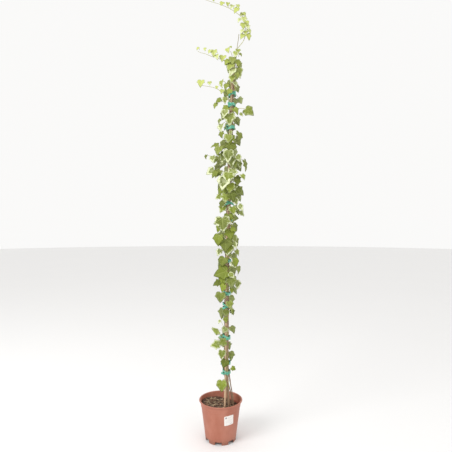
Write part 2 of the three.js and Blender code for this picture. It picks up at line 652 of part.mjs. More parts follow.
const SPACE = {
  disc: 0.52, // radius of the disc that stands for a leaf, in widths
  gap: 5, // between leaves that face the same way
  slope: 0.2, // least sine of the angle between leaves that face different ways
  step: 3, // how far out a leaf moves at a time
  tries: 13,
  shifts: [0, 6, -6, 12, -12, 18, -18], // how far aside a leaf may move
  start: 18, // from the canes' middle to the nearest leaves
  core: 15.5, // kept clear of leaves, round the canes and stems
  tied: 19, // the same, at a tie
  bends: [[24, 0.14], [34, 0.14], [24, 0.45], [44, 0.3]], // how far out a petiole goes, and its arch
  kink: 1.25, // the most that one length of petiole turns from the last, in radians
};

const boxOf = (solid) => {
  const { min, max } = solid.boundingBox();
  return new THREE.Box3(vector(min), vector(max));
};
const taken = [];
const take = (owner, solid) => taken.push({ owner, solid, box: boxOf(solid) });

function isFree(owner, solid) {
  const box = boxOf(solid);
  return taken.every(
    (other) =>
      other.owner === owner || !other.box.intersectsBox(box) || other.solid.intersect(solid).volume() < 1e-4,
  );
}

// Whether two leaves' discs cross, or lie flat against each other closer than the gap.
function discsMeet(a, b) {
  const apart = b.centre.clone().sub(a.centre);
  const [ra, rb] = [a.width * SPACE.disc, b.width * SPACE.disc];
  if (apart.length() > ra + rb) return false;
  const line = new THREE.Vector3().crossVectors(a.face, b.face);
  const slope = line.length();
  const [overA, overB] = [Math.abs(apart.dot(a.face)), Math.abs(apart.dot(b.face))];
  if (slope < SPACE.slope) return Math.min(overA, overB) < SPACE.gap;
  const [fromA, fromB] = [overB / slope, overA / slope];
  if (fromA >= ra || fromB >= rb) return false;
  const shift = Math.abs(apart.dot(line) / slope);
  return shift < Math.sqrt(ra * ra - fromA * fromA) + Math.sqrt(rb * rb - fromB * fromB);
}

// Whether a point is among the canes, stems and ties.
function inBundle(point) {
  const middle = bundleAt(point.z);
  const tied = TIES.heights.some((z) => Math.abs(point.z - z) < TIES.length);
  const above = point.z > CANES.bamboo_cane_right.route.at(-1)[2] + 20;
  return !above && Math.hypot(point.x - middle.x, point.y - middle.y) < (tied ? SPACE.tied : SPACE.core);
}

function meetsBundle(leaf) {
  const places = [...LEAF.outline, [0.2, 0.1], [0, 0.4], [0.25, 0.25]];
  return [-1, 1].some((side) => places.some(([u, v]) => inBundle(onLeaf(leaf, side * u, v))));
}

// A petiole arches up, and bends round the canes where they are in its way.
function petioleCurve(start, leaf, bend, arch) {
  const end = leaf.base.clone();
  const middle = start.clone().lerp(end, 0.5);
  middle.z += arch * start.distanceTo(end);
  const axis = bundleAt(middle.z);
  const out = middle.clone().sub(axis);
  if (out.length() < bend) {
    const away = new THREE.Vector3(end.x - axis.x, end.y - axis.y, 0).add(out).normalize();
    middle.copy(axis).addScaledVector(away, bend);
  }
  const tilt = radians(LEAF.petioleTilt);
  const last = leaf.apex.clone().multiplyScalar(Math.cos(tilt)).addScaledVector(leaf.face, Math.sin(tilt));
  const before = end.clone().addScaledVector(last, -LEAF.petioleEnd);
  return new THREE.CubicBezierCurve3(start, middle, before, end);
}

// Whether a petiole bends gently enough for its tube not to fold.
function bendsGently(petiole) {
  const corners = evenly(LEAF.petioleSteps).map((share) => petiole.getPoint(share));
  const legs = corners.slice(1).map((next, i) => next.clone().sub(corners[i]));
  const turns = legs.slice(1).map((leg, i) => leg.angleTo(legs[i]));
  const short = Math.min(...legs.map((leg) => leg.length()));
  return short > 3 * LEAF.petioleRadius && Math.max(...turns) < SPACE.kink;
}

// Whether a petiole runs clear of its own leaf's blade, all but where it joins it.
function clearsBlade(leaf, petiole) {
  const [lobe, depth] = LEAF.outline[1];
  const margin = (LEAF.petioleRadius + CLEARANCE) / leaf.width;
  const corners = evenly(LEAF.petioleSteps).map((share) => petiole.getPoint(share));
  return corners.slice(1).every((next, i) =>
    evenly(12).every((share) => {
      const offset = corners[i].clone().lerp(next, share).sub(leaf.base);
      if (offset.length() < 3 * LEAF.petioleRadius) return true;
      const [u, v] = [Math.abs(offset.dot(leaf.across)), offset.dot(leaf.apex)].map((d) => d / leaf.width);
      const sag = LEAF.droop * (u * u * 0.6 + (v - LEAF.middle) ** 2) * leaf.width;
      if (Math.abs(offset.dot(leaf.face) + sag) > 2 * LEAF.petioleRadius + CLEARANCE) return true;
      if (v < 0) return u + margin < (-v * lobe) / -depth || v < depth - margin;
      return u > 0.55 || v > 0.88;
    }),
  );
}

// Moves a leaf out from the canes, and then aside, until it and its petiole are clear of all
// that is taken. A leaf with no such place isn't grown.
const grown = [];
function placeLeaf(row, shoot) {
  const [x, ...rest] = row;
  const outward = Math.cos(radians(row[4])) < 0 ? 1 : -1;
  const middle = bundleAt(row[1]);
  const aside = Math.max(0, Math.abs(x - middle.x) - 14);
  const off = (point) => Math.abs(point.x - x);
  const nearest = shoot.twig.getPoints(40).reduce((a, b) => (off(b) < off(a) ? b : a));
  const start = shoot.free ? nearest.y - 6 : middle.y + outward * Math.max(3, SPACE.start - 0.3 * aside);
  const roots = shoot.twig.getPoints(shoot.free ? 40 : 7).slice(1);
  for (const shift of SPACE.shifts) {
    for (let attempt = 0; attempt < SPACE.tries; attempt++) {
      const out = outward * attempt * SPACE.step * (shoot.free ? 0.6 : 1);
      const leaf = leafFrame([x + shift, ...rest], start + out);
      if (meetsBundle(leaf) || grown.some((other) => discsMeet(leaf, other))) continue;
      const near = roots.toSorted((a, b) => a.distanceTo(leaf.base) - b.distanceTo(leaf.base)).slice(0, 6);
      const petiole = SPACE.bends
        .flatMap(([bend, arch]) => near.map((root) => petioleCurve(root, leaf, bend, arch)))
        .filter((curve) => bendsGently(curve) && clearsBlade(leaf, curve))
        .find((curve) => isFree(shoot.name, leafSolid({ leaf, petiole: curve }, CLEARANCE)));
      if (!petiole) continue;
      const solid = leafSolid({ leaf, petiole });
      grown.push(leaf);
      take(shoot.name, solid);
      return [solid];
    }
  }
  return [];
}

// ---------------------------------------------------------------- leafy shoots

const highest = (rows) => Math.max(...rows.map((row) => row[1]));
const lowest = (rows) => Math.min(...rows.map((row) => row[1]));

// The stem that a group of leaves grows from: the nearest one that reaches so high.
function stemFor(rows) {
  const share = 1 / rows.length;
  const middle = new THREE.Vector3();
  for (const [x, z] of rows) middle.add(new THREE.Vector3(x, 0, z).multiplyScalar(share));
  const outward = Math.cos(radians(rows[0][4])) < 0 ? 1 : -1;
  middle.y = outward * SPACE.start * 1.6;
  const away = (name) => atHeight(stemCurves[name], middle.z).distanceTo(middle);
  return Object.keys(STEMS)
    .filter((name) => STEMS[name].top > highest(rows) - TWIG.length)
    .reduce((a, b) => (away(b) < away(a) ? b : a));
}

// A short twig that leaves a woody stem and runs up beside it, on the side away from the canes.
function twigBeside(rows) {
  const name = stemFor(rows);
  const at = (foot) => {
    const points = [0, 0.5, 1].map((share) => {
      const z = foot + share * TWIG.length;
      const stem = atHeight(stemCurves[name], Math.min(z, STEMS[name].top - 3));
      const out = new THREE.Vector3(stem.x, stem.y, 0).sub(bundleAt(z).setZ(0)).normalize();
      const beside = STEMS[name].radius * STEM.footShare + TWIG.radius;
      const apart = beside + TWIG.stemGap + share * TWIG.lean;
      return new THREE.Vector3(stem.x + out.x * apart, stem.y + out.y * apart, z);
    });
    return new THREE.CatmullRomCurve3(points);
  };
  let foot = lowest(rows) - TWIG.below;
  const around = (twig) => twigSolid({ twig, steps: 2, radius: () => TWIG.radius }, CLEARANCE);
  while (!isFree("", around(at(foot)))) foot += 3;
  return at(foot);
}

function twigSolid({ twig, steps, radius }, extra = 0) {
  return solidOf(tube(twig, evenly(steps), TWIG.sides, (share) => radius(share) + extra));
}

const numbered = (word, i) => `${word}_${String(i + 1).padStart(2, "0")}`;

// Twigs first, then leaves from the ground up, so that no leaf grows through a twig.
function growShoots() {
  const free = Object.entries(FREE_SHOOTS).map(([name, { route, leaves }]) => {
    const twig = routeOf(route);
    const steps = Math.round(twig.getLength() / FREE_TWIG.step);
    const radius = (share) => THREE.MathUtils.lerp(FREE_TWIG.radius, FREE_TWIG.tipRadius, share);
    return { name, twig, steps, radius, leaves, free: true };
  });
  const sprays = [
    ...FRONT_SPRAYS.map((leaves, i) => ({ name: numbered("leafy_shoot_front", i), leaves })),
    ...BACK_SPRAYS.map((leaves, i) => ({ name: numbered("leafy_shoot_back", i), leaves })),
  ].sort((a, b) => lowest(a.leaves) - lowest(b.leaves));
  for (const shoot of free) take(shoot.name, twigSolid(shoot, CLEARANCE));
  const beside = sprays.map((spray) => {
    const shoot = { ...spray, twig: twigBeside(spray.leaves), steps: 2, radius: () => TWIG.radius };
    take(shoot.name, twigSolid(shoot, CLEARANCE));
    return shoot;
  });
  return [...free, ...beside].map((shoot) => {
    const rows = shoot.leaves.toSorted((a, b) => a[1] - b[1]);
    const leaves = rows.flatMap((row) => placeLeaf(row, shoot));
    return { name: shoot.name, free: shoot.free, solid: tidy(join([twigSolid(shoot), ...leaves])) };
  });
}

// ---------------------------------------------------------------- assembly

const FINISHES = {
  terracotta: { color: 0xbc7964, roughness: 0.5 },
  soil: { color: 0x4a382c, roughness: 0.95 },
  paper: { color: 0xf2eee8, roughness: 0.7 },
  bamboo: { color: 0xc79c78, roughness: 0.6 },
  tape: { color: 0x3fa57f, roughness: 0.45 },
  bark: { color: 0x7d6248, roughness: 0.85 },
  leaf: { color: 0x7d8c3c, roughness: 0.45 },
  youngLeaf: { color: 0xb4c46a, roughness: 0.45 },
};

const ivy = new THREE.Group();

function addPiece(name, solid, finish) {
  const material = new THREE.MeshStandardMaterial({ ...FINISHES[finish], metalness: 0 });
  const mesh = new THREE.Mesh(geometryOf(solid), material);
  mesh.name = name;
  ivy.add(mesh);
}

for (const cane of Object.values(CANES)) take("canes", caneSolid(cane, CLEARANCE));
for (const name of Object.keys(STEMS)) take("stems", stemSolid(name, CLEARANCE));
const soil = taken.reduce((rest, { solid }) => rest.subtract(solid), soilSolid());
TIES.heights.forEach((z, i) => take("ties", tieSolid(z, i, CLEARANCE)));

addPiece("nursery_pot", potSolid(), "terracotta");
addPiece("potting_soil", soil, "soil");
addPiece("pot_label", labelSolid(), "paper");
for (const [name, cane] of Object.entries(CANES)) addPiece(name, caneSolid(cane), "bamboo");
for (const name of Object.keys(STEMS)) addPiece(name, stemSolid(name), "bark");
TIES.heights.forEach((z, i) => addPiece(numbered("tape_tie", i), tieSolid(z, i), "tape"));
for (const shoot of growShoots()) addPiece(shoot.name, shoot.solid, shoot.free ? "youngLeaf" : "leaf");

export default ivy;
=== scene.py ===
"""A climbing ivy on two bamboo canes, in a plastic nursery pot.

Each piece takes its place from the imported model: the leaves, petioles, canes, stems and soil are
read from their nodes' meshes and built again in full. Lengths are in metres.
"""

import logging
import math
import random
from collections import defaultdict
from dataclasses import dataclass, field
from enum import Enum
from typing import Callable, Sequence

import bpy
import numpy as np
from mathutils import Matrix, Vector, noise
from mathutils.bvhtree import BVHTree


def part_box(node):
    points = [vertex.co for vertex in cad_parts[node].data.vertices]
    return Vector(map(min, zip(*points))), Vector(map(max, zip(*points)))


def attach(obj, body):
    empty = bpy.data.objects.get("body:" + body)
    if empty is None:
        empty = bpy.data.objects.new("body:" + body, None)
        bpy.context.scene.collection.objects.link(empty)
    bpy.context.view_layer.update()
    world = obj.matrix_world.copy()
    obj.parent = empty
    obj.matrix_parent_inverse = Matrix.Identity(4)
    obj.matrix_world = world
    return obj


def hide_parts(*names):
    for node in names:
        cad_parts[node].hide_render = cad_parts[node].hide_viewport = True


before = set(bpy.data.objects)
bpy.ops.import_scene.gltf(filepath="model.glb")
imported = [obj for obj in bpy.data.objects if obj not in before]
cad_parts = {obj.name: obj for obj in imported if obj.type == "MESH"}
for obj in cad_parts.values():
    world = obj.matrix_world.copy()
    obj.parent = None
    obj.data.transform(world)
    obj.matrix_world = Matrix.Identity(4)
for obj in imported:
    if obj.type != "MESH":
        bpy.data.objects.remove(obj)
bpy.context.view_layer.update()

log = logging.getLogger("ivy")
MM = 0.001
UP = Vector((0, 0, 1))
WALL_SLOPE = 0.1308  # how fast the pot's wall widens on the way up
Colour = tuple[float, float, float]
Carried = dict[str, Sequence[float]]


# ------------------------------------------------------------------ shader maths


class Term:
    """One output of a shader node, with arithmetic that adds Math nodes."""

    def __init__(self, shader: "Shader", socket: bpy.types.NodeSocket) -> None:
        """Wraps a socket of that shader's tree."""
        self.shader = shader
        self.socket = socket

    def _math(self, operation: str, *values: "Term | float", clamp: bool = False) -> "Term":
        """Adds a Math node.

        Args:
            operation: the node's operation.
            values: its inputs in order.
            clamp: whether the result is kept between 0 and 1.

        Returns:
            The node's result.
        """
        settings = {"operation": operation, "use_clamp": clamp}
        return self.shader.node("ShaderNodeMath", settings, dict(enumerate(values)))

    def __add__(self, other: "Term | float") -> "Term":
        """Returns self + other."""
        return self._math("ADD", self, other)

    def __radd__(self, other: float) -> "Term":
        """Returns other + self."""
        return self._math("ADD", other, self)

    def __sub__(self, other: "Term | float") -> "Term":
        """Returns self - other."""
        return self._math("SUBTRACT", self, other)

    def __rsub__(self, other: float) -> "Term":
        """Returns other - self."""
        return self._math("SUBTRACT", other, self)

    def __mul__(self, other: "Term | float") -> "Term":
        """Returns self * other."""
        return self._math("MULTIPLY", self, other)

    def __rmul__(self, other: float) -> "Term":
        """Returns other * self."""
        return self._math("MULTIPLY", other, self)

    def __abs__(self) -> "Term":
        """Returns the size of self without its sign."""
        return self._math("ABSOLUTE", self)

    def clamped(self) -> "Term":
        """Returns self kept between 0 and 1."""
        return self._math("ADD", self, 0.0, clamp=True)

    def most(self, other: "Term | float") -> "Term":
        """Returns the larger of self and other."""
        return self._math("MAXIMUM", self, other)

    def above(self, limit: float) -> "Term":
        """Returns 1 where self is above the limit, and 0 elsewhere."""
        return self._math("GREATER_THAN", self, limit)

    def rise(self, low: float, high: float) -> "Term":
        """Returns a smooth step of self.

        Args:
            low: where the step is 0.
            high: where the step is 1. It may be below low, for a falling step.

        Returns:
            The step, from 0 to 1.
        """
        settings = {"interpolation_type": "SMOOTHSTEP"}
        inputs = {"Value": self, "From Min": low, "From Max": high}
        return self.shader.node("ShaderNodeMapRange", settings, inputs)


class Shader:
    """A material's node tree, with one way to add a node."""

    def __init__(self, name: str) -> None:
        """Makes an empty material.

        Args:
            name: its name.
        """
        self.material = bpy.data.materials.new(name)
        self.material.use_nodes = True
        self.tree = self.material.node_tree
        self.tree.nodes.clear()

    def node(
        self,
        kind: str,
        settings: dict[str, object] | None = None,
        inputs: dict[str | int, object] | None = None,
        output: str | int = 0,
    ) -> Term:
        """Adds a node.

        Args:
            kind: the node's type.
            settings: its properties, set first.
            inputs: a value or a Term for each socket, by name or number.
            output: the output to hand back.

        Returns:
            That output.
        """
        made = self.tree.nodes.new(kind)
        for key, value in (settings or {}).items():
            setattr(made, key, value)
        for key, value in (inputs or {}).items():
            if isinstance(value, Term):
                self.tree.links.new(value.socket, made.inputs[key])
            else:
                made.inputs[key].default_value = value
        return Term(self, made.outputs[output] if made.outputs else None)

    def mix(self, factor: Term | float, a: Term | Colour, b: Term | Colour) -> Term:
        """Blends two colours.

        Args:
            factor: 0 for a, 1 for b.
            a: a colour.
            b: a colour.

        Returns:
            The blend.
        """
        ends = [c if isinstance(c, Term) else (*c, 1.0) for c in (a, b)]
        settings = {"data_type": "RGBA", "clamp_factor": True}
        return self.node("ShaderNodeMix", settings, {0: factor, 6: ends[0], 7: ends[1]}, 2)

    def place(self, scale: Sequence[float] = (1, 1, 1)) -> Term:
        """Returns the object's own coordinates, stretched by scale."""
        where = self.node("ShaderNodeTexCoord", {}, {}, "Object")
        return self.vector("MULTIPLY", where, tuple(scale))

    def vector(self, operation: str, *values: Term | Sequence[float], output: str | int = 0) -> Term:
        """Returns the result of a Vector Math node with those inputs."""
        return self.node("ShaderNodeVectorMath", {"operation": operation}, dict(enumerate(values)), output)

    def carried(self, name: str) -> Term:
        """Returns a vector that the mesh carries under that name."""
        return self.node("ShaderNodeAttribute", {"attribute_name": name}, {}, "Vector")

    def parts(self, vector: Term) -> tuple[Term, Term, Term]:
        """Returns a vector's three numbers."""
        split = self.node("ShaderNodeSeparateXYZ", {}, {"Vector": vector}).socket.node
        return tuple(Term(self, split.outputs[i]) for i in range(3))

    def grain(self, place: Term, scale: float, detail: float = 3.0, rough: float = 0.55) -> Term:
        """Returns noise from 0 to 1 at a scale given in cells per metre."""
        inputs = {"Vector": place, "Scale": scale, "Detail": detail, "Roughness": rough}
        return self.node("ShaderNodeTexNoise", {}, inputs)

    def finish(
        self,
        base: Term,
        roughness: Term | float,
        height: Term | None = None,
        bump: tuple[float, float] = (0.3, 0.001),
        constants: dict[str, float] | None = None,
    ) -> bpy.types.Material:
        """Closes the material with a Principled shader.

        Args:
            base: the surface's colour.
            roughness: its roughness.
            height: relief for a Bump node, from 0 to 1.
            bump: the bump's strength, and the depth that a height of 1 stands for.
            constants: plain values for other sockets.

        Returns:
            The material.
        """
        inputs: dict[str | int, object] = {"Base Color": base, "Roughness": roughness}
        inputs.update(constants or {})
        if height is not None:
            relief = {"Height": height, "Strength": bump[0], "Distance": bump[1]}
            inputs["Normal"] = self.node("ShaderNodeBump", {}, relief)
        surface = self.node("ShaderNodeBsdfPrincipled", {}, inputs)
        self.node("ShaderNodeOutputMaterial", {}, {"Surface": surface})
        return self.material


# ------------------------------------------------------------------ finishes


@dataclass(frozen=True)
class LeafFinish:
    """How an ivy leaf is coloured. The mesh carries each leaf's own tone."""

    name: str
    deep: Colour = (0.044, 0.062, 0.004)
    light: Colour = (0.212, 0.272, 0.016)
    fresh: Colour = (0.50, 0.55, 0.15)
    cream: Colour = (0.72, 0.76, 0.50)
    vein: Colour = (0.44, 0.50, 0.17)
    under: Colour = (0.33, 0.38, 0.15)
    stalk: Colour = (0.24, 0.17, 0.07)
    roughness: float = 0.46
    specular: float = 0.22
    blotches: float = 95.0
    speckles: float = 420.0
    net_cells: float = 8.0
    rib_edges: tuple[float, float] = (0.022, 0.006)
    margin_edges: tuple[float, float] = (0.55, 0.9)
    relief: tuple[float, float] = (0.35, 0.0012)
    ribs: tuple[tuple[float, float], ...] = ((0.0, 1.0), (0.87, 0.5), (0.95, -0.31))

    def make(self) -> bpy.types.Material:
        """Mixes veins, cream margins, blotches and a paler underside.

        Returns:
            The material.
        """
        s = Shader(self.name)
        across, along, edge = s.parts(s.carried("leaf_place"))
        young, cream, shade = s.parts(s.carried("leaf_tone"))
        part, own, _ = s.parts(s.carried("leaf_part"))
        blotch = s.grain(s.place(), self.blotches, 2.0)
        speckle = s.grain(s.place(), self.speckles, 3.0)
        base = s.mix((shade * 0.75 + blotch * 0.5 - 0.12).clamped(), self.deep, self.light)
        base = s.mix(young, base, self.fresh)
        first, *others = [self._rib(abs(across), along, *direction) for direction in self.ribs]
        for rib in others:
            first = first.most(rib)
        veins = (first * 0.75).most(self._net(s) * 0.35).clamped()
        margin = (edge + (blotch - 0.5) * 1.1 + (own - 0.5) * 0.3).rise(*self.margin_edges)
        heart = (edge + (speckle - 0.5) * 0.5).rise(0.55, 0.2) * 0.4
        base = s.mix((margin * cream + heart * cream * own).clamped(), base, self.cream)
        base = s.mix(veins * (0.45 + cream * 0.3), base, self.vein)
        base = s.mix(part.rise(0.2, 0.45) * 0.75, base, self.under)
        base = s.mix(part.above(0.8), base, s.mix(blotch, self.stalk, self.fresh))
        height = (1.0 - veins * 0.8) * 0.6 + speckle * 0.4
        rough = self.roughness + speckle * 0.2
        return s.finish(base, rough, height, self.relief, {"Specular IOR Level": self.specular})

    def _rib(self, side: Term, along: Term, x: float, y: float) -> Term:
        """Draws one main vein from the blade's base.

        Args:
            side: the place across the blade, without its sign.
            along: the place along it.
            x: how far the vein runs across.
            y: how far it runs along.

        Returns:
            1 on the vein, and 0 beside it.
        """
        ahead = (side * x + along * y).rise(-0.01, 0.03)
        return abs(side * y - along * x).rise(*self.rib_edges) * ahead

    def _net(self, s: Shader) -> Term:
        """Draws the net of fine veins.

        Args:
            s: the leaf's shader.

        Returns:
            1 on a fine vein, and 0 beside it.
        """
        place = s.vector("ADD", s.carried("leaf_place"), s.carried("leaf_part"))
        settings, inputs = {"feature": "DISTANCE_TO_EDGE"}, {"Vector": place, "Scale": self.net_cells}
        return s.node("ShaderNodeTexVoronoi", settings, inputs, "Distance").rise(0.05, 0.0)


@dataclass(frozen=True)
class BambooFinish:
    """Dry bamboo: long streaks, darker rings at the joints and grey weathering."""

    name: str
    pale: Colour
    dark: Colour
    ring: Colour = (0.16, 0.09, 0.05)

    def make(self) -> bpy.types.Material:
        """Mixes the material.

        Returns:
            The material.
        """
        s = Shader(self.name)
        joint, _, _ = s.parts(s.carried("joint"))
        streak = s.grain(s.place((1, 1, 0.02)), 700.0, 4.0)
        patch = s.grain(s.place((1, 1, 0.35)), 26.0, 3.0)
        base = s.mix((streak * 0.75 + patch * 0.5 - 0.15).clamped(), self.dark, self.pale)
        base = s.mix((joint * 0.8 + patch.rise(0.62, 0.8) * 0.3).clamped(), base, self.ring)
        rough = 0.42 + streak * 0.25 + joint * 0.15
        return s.finish(base, rough, streak + joint * 0.2, (0.35, 0.0006))


@dataclass(frozen=True)
class BarkFinish:
    """Woody ivy stem: grey-brown with ridges and lighter lenticels."""

    name: str
    pale: Colour = (0.46, 0.33, 0.21)
    dark: Colour = (0.17, 0.10, 0.058)
    green: Colour = (0.23, 0.24, 0.10)

    def make(self) -> bpy.types.Material:
        """Mixes the material, greener towards the young upper stem.

        Returns:
            The material.
        """
        s = Shader(self.name)
        place = s.place((1, 1, 0.12))
        ridge = s.grain(place, 900.0, 4.0, 0.65)
        spot = s.grain(s.place(), 520.0, 2.0)
        base = s.mix((ridge * 1.3 - 0.25).clamped(), self.dark, self.pale)
        _, _, height = s.parts(s.place())
        base = s.mix(height.rise(0.7, 1.6) * 0.6, base, self.green)
        base = s.mix(spot.rise(0.66, 0.72) * 0.6, base, self.pale)
        return s.finish(base, 0.62 + ridge * 0.25, ridge + spot * 0.4, (0.7, 0.0012))


@dataclass(frozen=True)
class TapeFinish:
    """Thin stretched tying tape: shiny, creased and dusty in its folds."""

    name: str = "turquoise_tape"
    bright: Colour = (0.07, 0.38, 0.25)
    worn: Colour = (0.24, 0.52, 0.38)

    def make(self) -> bpy.types.Material:
        """Mixes the material.

        Returns:
            The material.
        """
        s = Shader(self.name)
        crease = s.grain(s.place((1, 1, 3)), 260.0, 3.0)
        dust = s.grain(s.place(), 90.0, 2.0)
        base = s.mix(dust.rise(0.4, 0.75), self.bright, self.worn)
        return s.finish(base, 0.26 + crease * 0.3, crease, (0.6, 0.0012), {"Coat Weight": 0.15})


@dataclass(frozen=True)
class PotFinish:
    """Injection-moulded terracotta plastic, scuffed and dusty."""

    name: str = "terracotta_plastic"
    base: Colour = (0.365, 0.121, 0.073)
    faded: Colour = (0.440, 0.172, 0.115)
    # Painted shade: the darker colour painted over the inside of the pot.
    deep: Colour = (0.270, 0.062, 0.034)
    dirt: Colour = (0.19, 0.085, 0.055)
    inner_foot: float = 58.8 * MM

    def make(self) -> bpy.types.Material:
        """Mixes turned lines, scuffs, painted shade on the inside wall, and splashes of soil low down.

        Returns:
            The material.
        """
        s = Shader(self.name)
        _, _, height = s.parts(s.place())
        cloud = s.grain(s.place((1, 1, 0.6)), 20.0, 3.0)
        scuff = s.grain(s.place((1, 1, 4)), 160.0, 4.0, 0.7)
        pore = s.grain(s.place(), 1400.0, 2.0)
        lines = s.grain(s.place((0.02, 0.02, 1)), 1500.0, 2.0)
        base = s.mix(cloud.rise(0.35, 0.75), self.base, self.faded)
        base = s.mix(scuff.rise(0.62, 0.78) * 0.35, base, self.faded)
        # Painted shade: everything inside the wall's inner face, from just above the ground, is darkened
        # towards the deep colour.
        radius = s.vector("LENGTH", s.place((1, 1, 0)), output="Value")
        wall = self.inner_foot + height * WALL_SLOPE
        inside = (radius - wall).rise(0.0006, -0.0002) * height.above(0.0005)
        base = s.mix(inside * 0.75, base, self.deep)
        splash = (height.rise(0.045, 0.0) + (scuff - 0.5) * 1.1).rise(0.55, 1.0) * 0.5
        base = s.mix(splash, base, self.dirt)
        rough = 0.36 + cloud * 0.12 + scuff * 0.16
        return s.finish(base, rough, pore * 0.5 + lines * 0.35 + scuff * 0.3, (0.16, 0.0006))


@dataclass(frozen=True)
class SoilFinish:
    """Moist peat with lighter fibres, bark chips, straw and a pale root."""

    name: str = "potting_mix"
    wet: Colour = (0.024, 0.012, 0.008)
    dry: Colour = (0.120, 0.068, 0.042)
    bark: Colour = (0.26, 0.145, 0.080)
    straw: Colour = (0.72, 0.56, 0.36)
    root: Colour = (0.84, 0.76, 0.62)

    def make(self) -> bpy.types.Material:
        """Mixes the material. The mesh carries what each crumb is made of.

        Returns:
            The material.
        """
        s = Shader(self.name)
        kind, own, _ = s.parts(s.carried("crumb"))
        fine = s.grain(s.place(), 520.0, 5.0, 0.7)
        patch = s.grain(s.place(), 60.0, 3.0)
        base = s.mix((fine * 0.8 + patch * 0.7 - 0.35 + own * 0.25).clamped(), self.wet, self.dry)
        base = s.mix(kind.above(0.25) * (0.4 + own * 0.6), base, self.bark)
        base = s.mix(kind.above(0.5), base, s.mix(own, self.straw, self.bark))
        base = s.mix(kind.above(0.8), base, self.root)
        return s.finish(base, 0.82 + fine * 0.15, fine + patch * 0.5, (0.9, 0.002))


@dataclass(frozen=True)
class LabelFinish:
    """A matt paper sticker printed with plain bars."""

    name: str = "paper_label"
    paper: Colour = (0.80, 0.765, 0.73)
    ink: Colour = (0.17, 0.16, 0.17)
    faint: Colour = (0.50, 0.47, 0.46)
    smeared: Colour = (0.66, 0.58, 0.52)
    bars: tuple[tuple[float, float, float, float], ...] = (
        (0.10, 0.28, 0.72, 0.90),
        (0.36, 0.86, 0.80, 0.84),
        (0.36, 0.70, 0.72, 0.755),
        (0.12, 0.80, 0.50, 0.535),
        (0.12, 0.66, 0.40, 0.43),
        (0.12, 0.74, 0.30, 0.33),
        (0.58, 0.88, 0.10, 0.18),
    )

    def make(self) -> bpy.types.Material:
        """Mixes one dark patch and faint bars on paper.

        Returns:
            The material.
        """
        s = Shader(self.name)
        x, y, _ = s.parts(s.carried("sheet"))
        fibre = s.grain(s.place(), 1600.0, 3.0)
        smear = s.grain(s.place(), 120.0, 3.0)
        base = s.mix(smear.rise(0.4, 0.8) * 0.35, self.paper, self.smeared)
        for i, (left, right, low, high) in enumerate(self.bars):
            wide = x.rise(left, left + 0.02) * x.rise(right, right - 0.02)
            tall = y.rise(low, low + 0.015) * y.rise(high, high - 0.015)
            cover, ink = (0.7, self.faint) if i else (0.8, self.ink)
            base = s.mix(wide * tall * cover, base, ink)
        return s.finish(base, 0.7 + fibre * 0.15, fibre, (0.15, 0.0003))


# ------------------------------------------------------------------ meshes


def around(angle: float, rise: float = 0.0) -> Vector:
    """Returns the direction at an angle from +X round the axis, with a rise."""
    return Vector((math.cos(angle), math.sin(angle), rise))


def taper(foot: float, loss: float) -> Callable[[float, float], float]:
    """Makes the radius of a tube that thins evenly.

    Args:
        foot: the radius where it starts, in millimetres.
        loss: how much thinner its end is, in millimetres.

    Returns:
        The radius in metres, at a share of the length and an angle.
    """
    return lambda share, _angle: (foot - loss * share) * MM


class Sketch:
    """A mesh being drawn: its points, its faces, and the vectors that they carry."""

    def __init__(self) -> None:
        """Starts with nothing drawn."""
        self.points: list[Vector] = []
        self.faces: list[tuple[int, ...]] = []
        self.on_points: dict[str, dict[int, Sequence[float]]] = defaultdict(dict)
        self.on_faces: dict[str, dict[int, Sequence[float]]] = defaultdict(dict)

    def point(self, place: Vector, **carried: Sequence[float]) -> int:
        """Adds a point.

        Args:
            place: where it is.
            carried: vectors that the point carries, by name.

        Returns:
            The point's number.
        """
        self.points.append(place)
        for name, value in carried.items():
            self.on_points[name][len(self.points) - 1] = value
        return len(self.points) - 1

    def circle(self, radius: float, z: float, sides: int) -> list[int]:
        """Returns the numbers of new points in a level circle round the axis."""
        return [self.point(around(2 * math.pi * i / sides) * radius + UP * z) for i in range(sides)]

    def face(self, corners: Sequence[int], **carried: Sequence[float]) -> None:
        """Adds a face.

        Args:
            corners: its points' numbers, counter-clockwise from outside.
            carried: vectors that the face carries, by name.
        """
        self.faces.append(tuple(corners))
        for name, value in carried.items():
            self.on_faces[name][len(self.faces) - 1] = value

    def skin(self, rings: Sequence[Sequence[int]], **carried: Sequence[float]) -> None:
        """Joins closed rings of points one after another, and closes both ends.

        Args:
            rings: the rings' points, counter-clockwise from the last ring's side.
            carried: vectors that the faces carry, by name.
        """
        for low, high in zip(rings, rings[1:]):
            for i in range(len(low)):
                j = (i + 1) % len(low)
                self.face((low[i], low[j], high[j], high[i]), **carried)
        self.face(tuple(reversed(rings[0])), **carried)
        self.face(tuple(rings[-1]), **carried)

    def make(
        self, name: str, material: bpy.types.Material, sharp: float | None = None
    ) -> bpy.types.Object:
        """Turns the drawing into an object.

        Args:
            name: the object's name.
            material: its material.
            sharp: the angle in degrees over which an edge stays sharp, or None for none.

        Returns:
            The object, in the scene.
        """
        data = bpy.data.meshes.new(name)
        data.from_pydata([tuple(p) for p in self.points], [], self.faces)
        for domain, size, held in (
            ("POINT", len(self.points), self.on_points),
            ("FACE", len(self.faces), self.on_faces),
        ):
            for key, values in held.items():
                flat = np.zeros((size, 3), np.float32)
                for number, value in values.items():
                    flat[number] = value
                attribute = data.attributes.new(key, "FLOAT_VECTOR", domain)
                attribute.data.foreach_set("vector", flat.ravel())
        data.materials.append(material)
        data.shade_smooth()
        if sharp is not None:
            data.set_sharp_from_angle(angle=math.radians(sharp))
        data.validate()
        made = bpy.data.objects.new(name, data)
        bpy.context.scene.collection.objects.link(made)
        return made


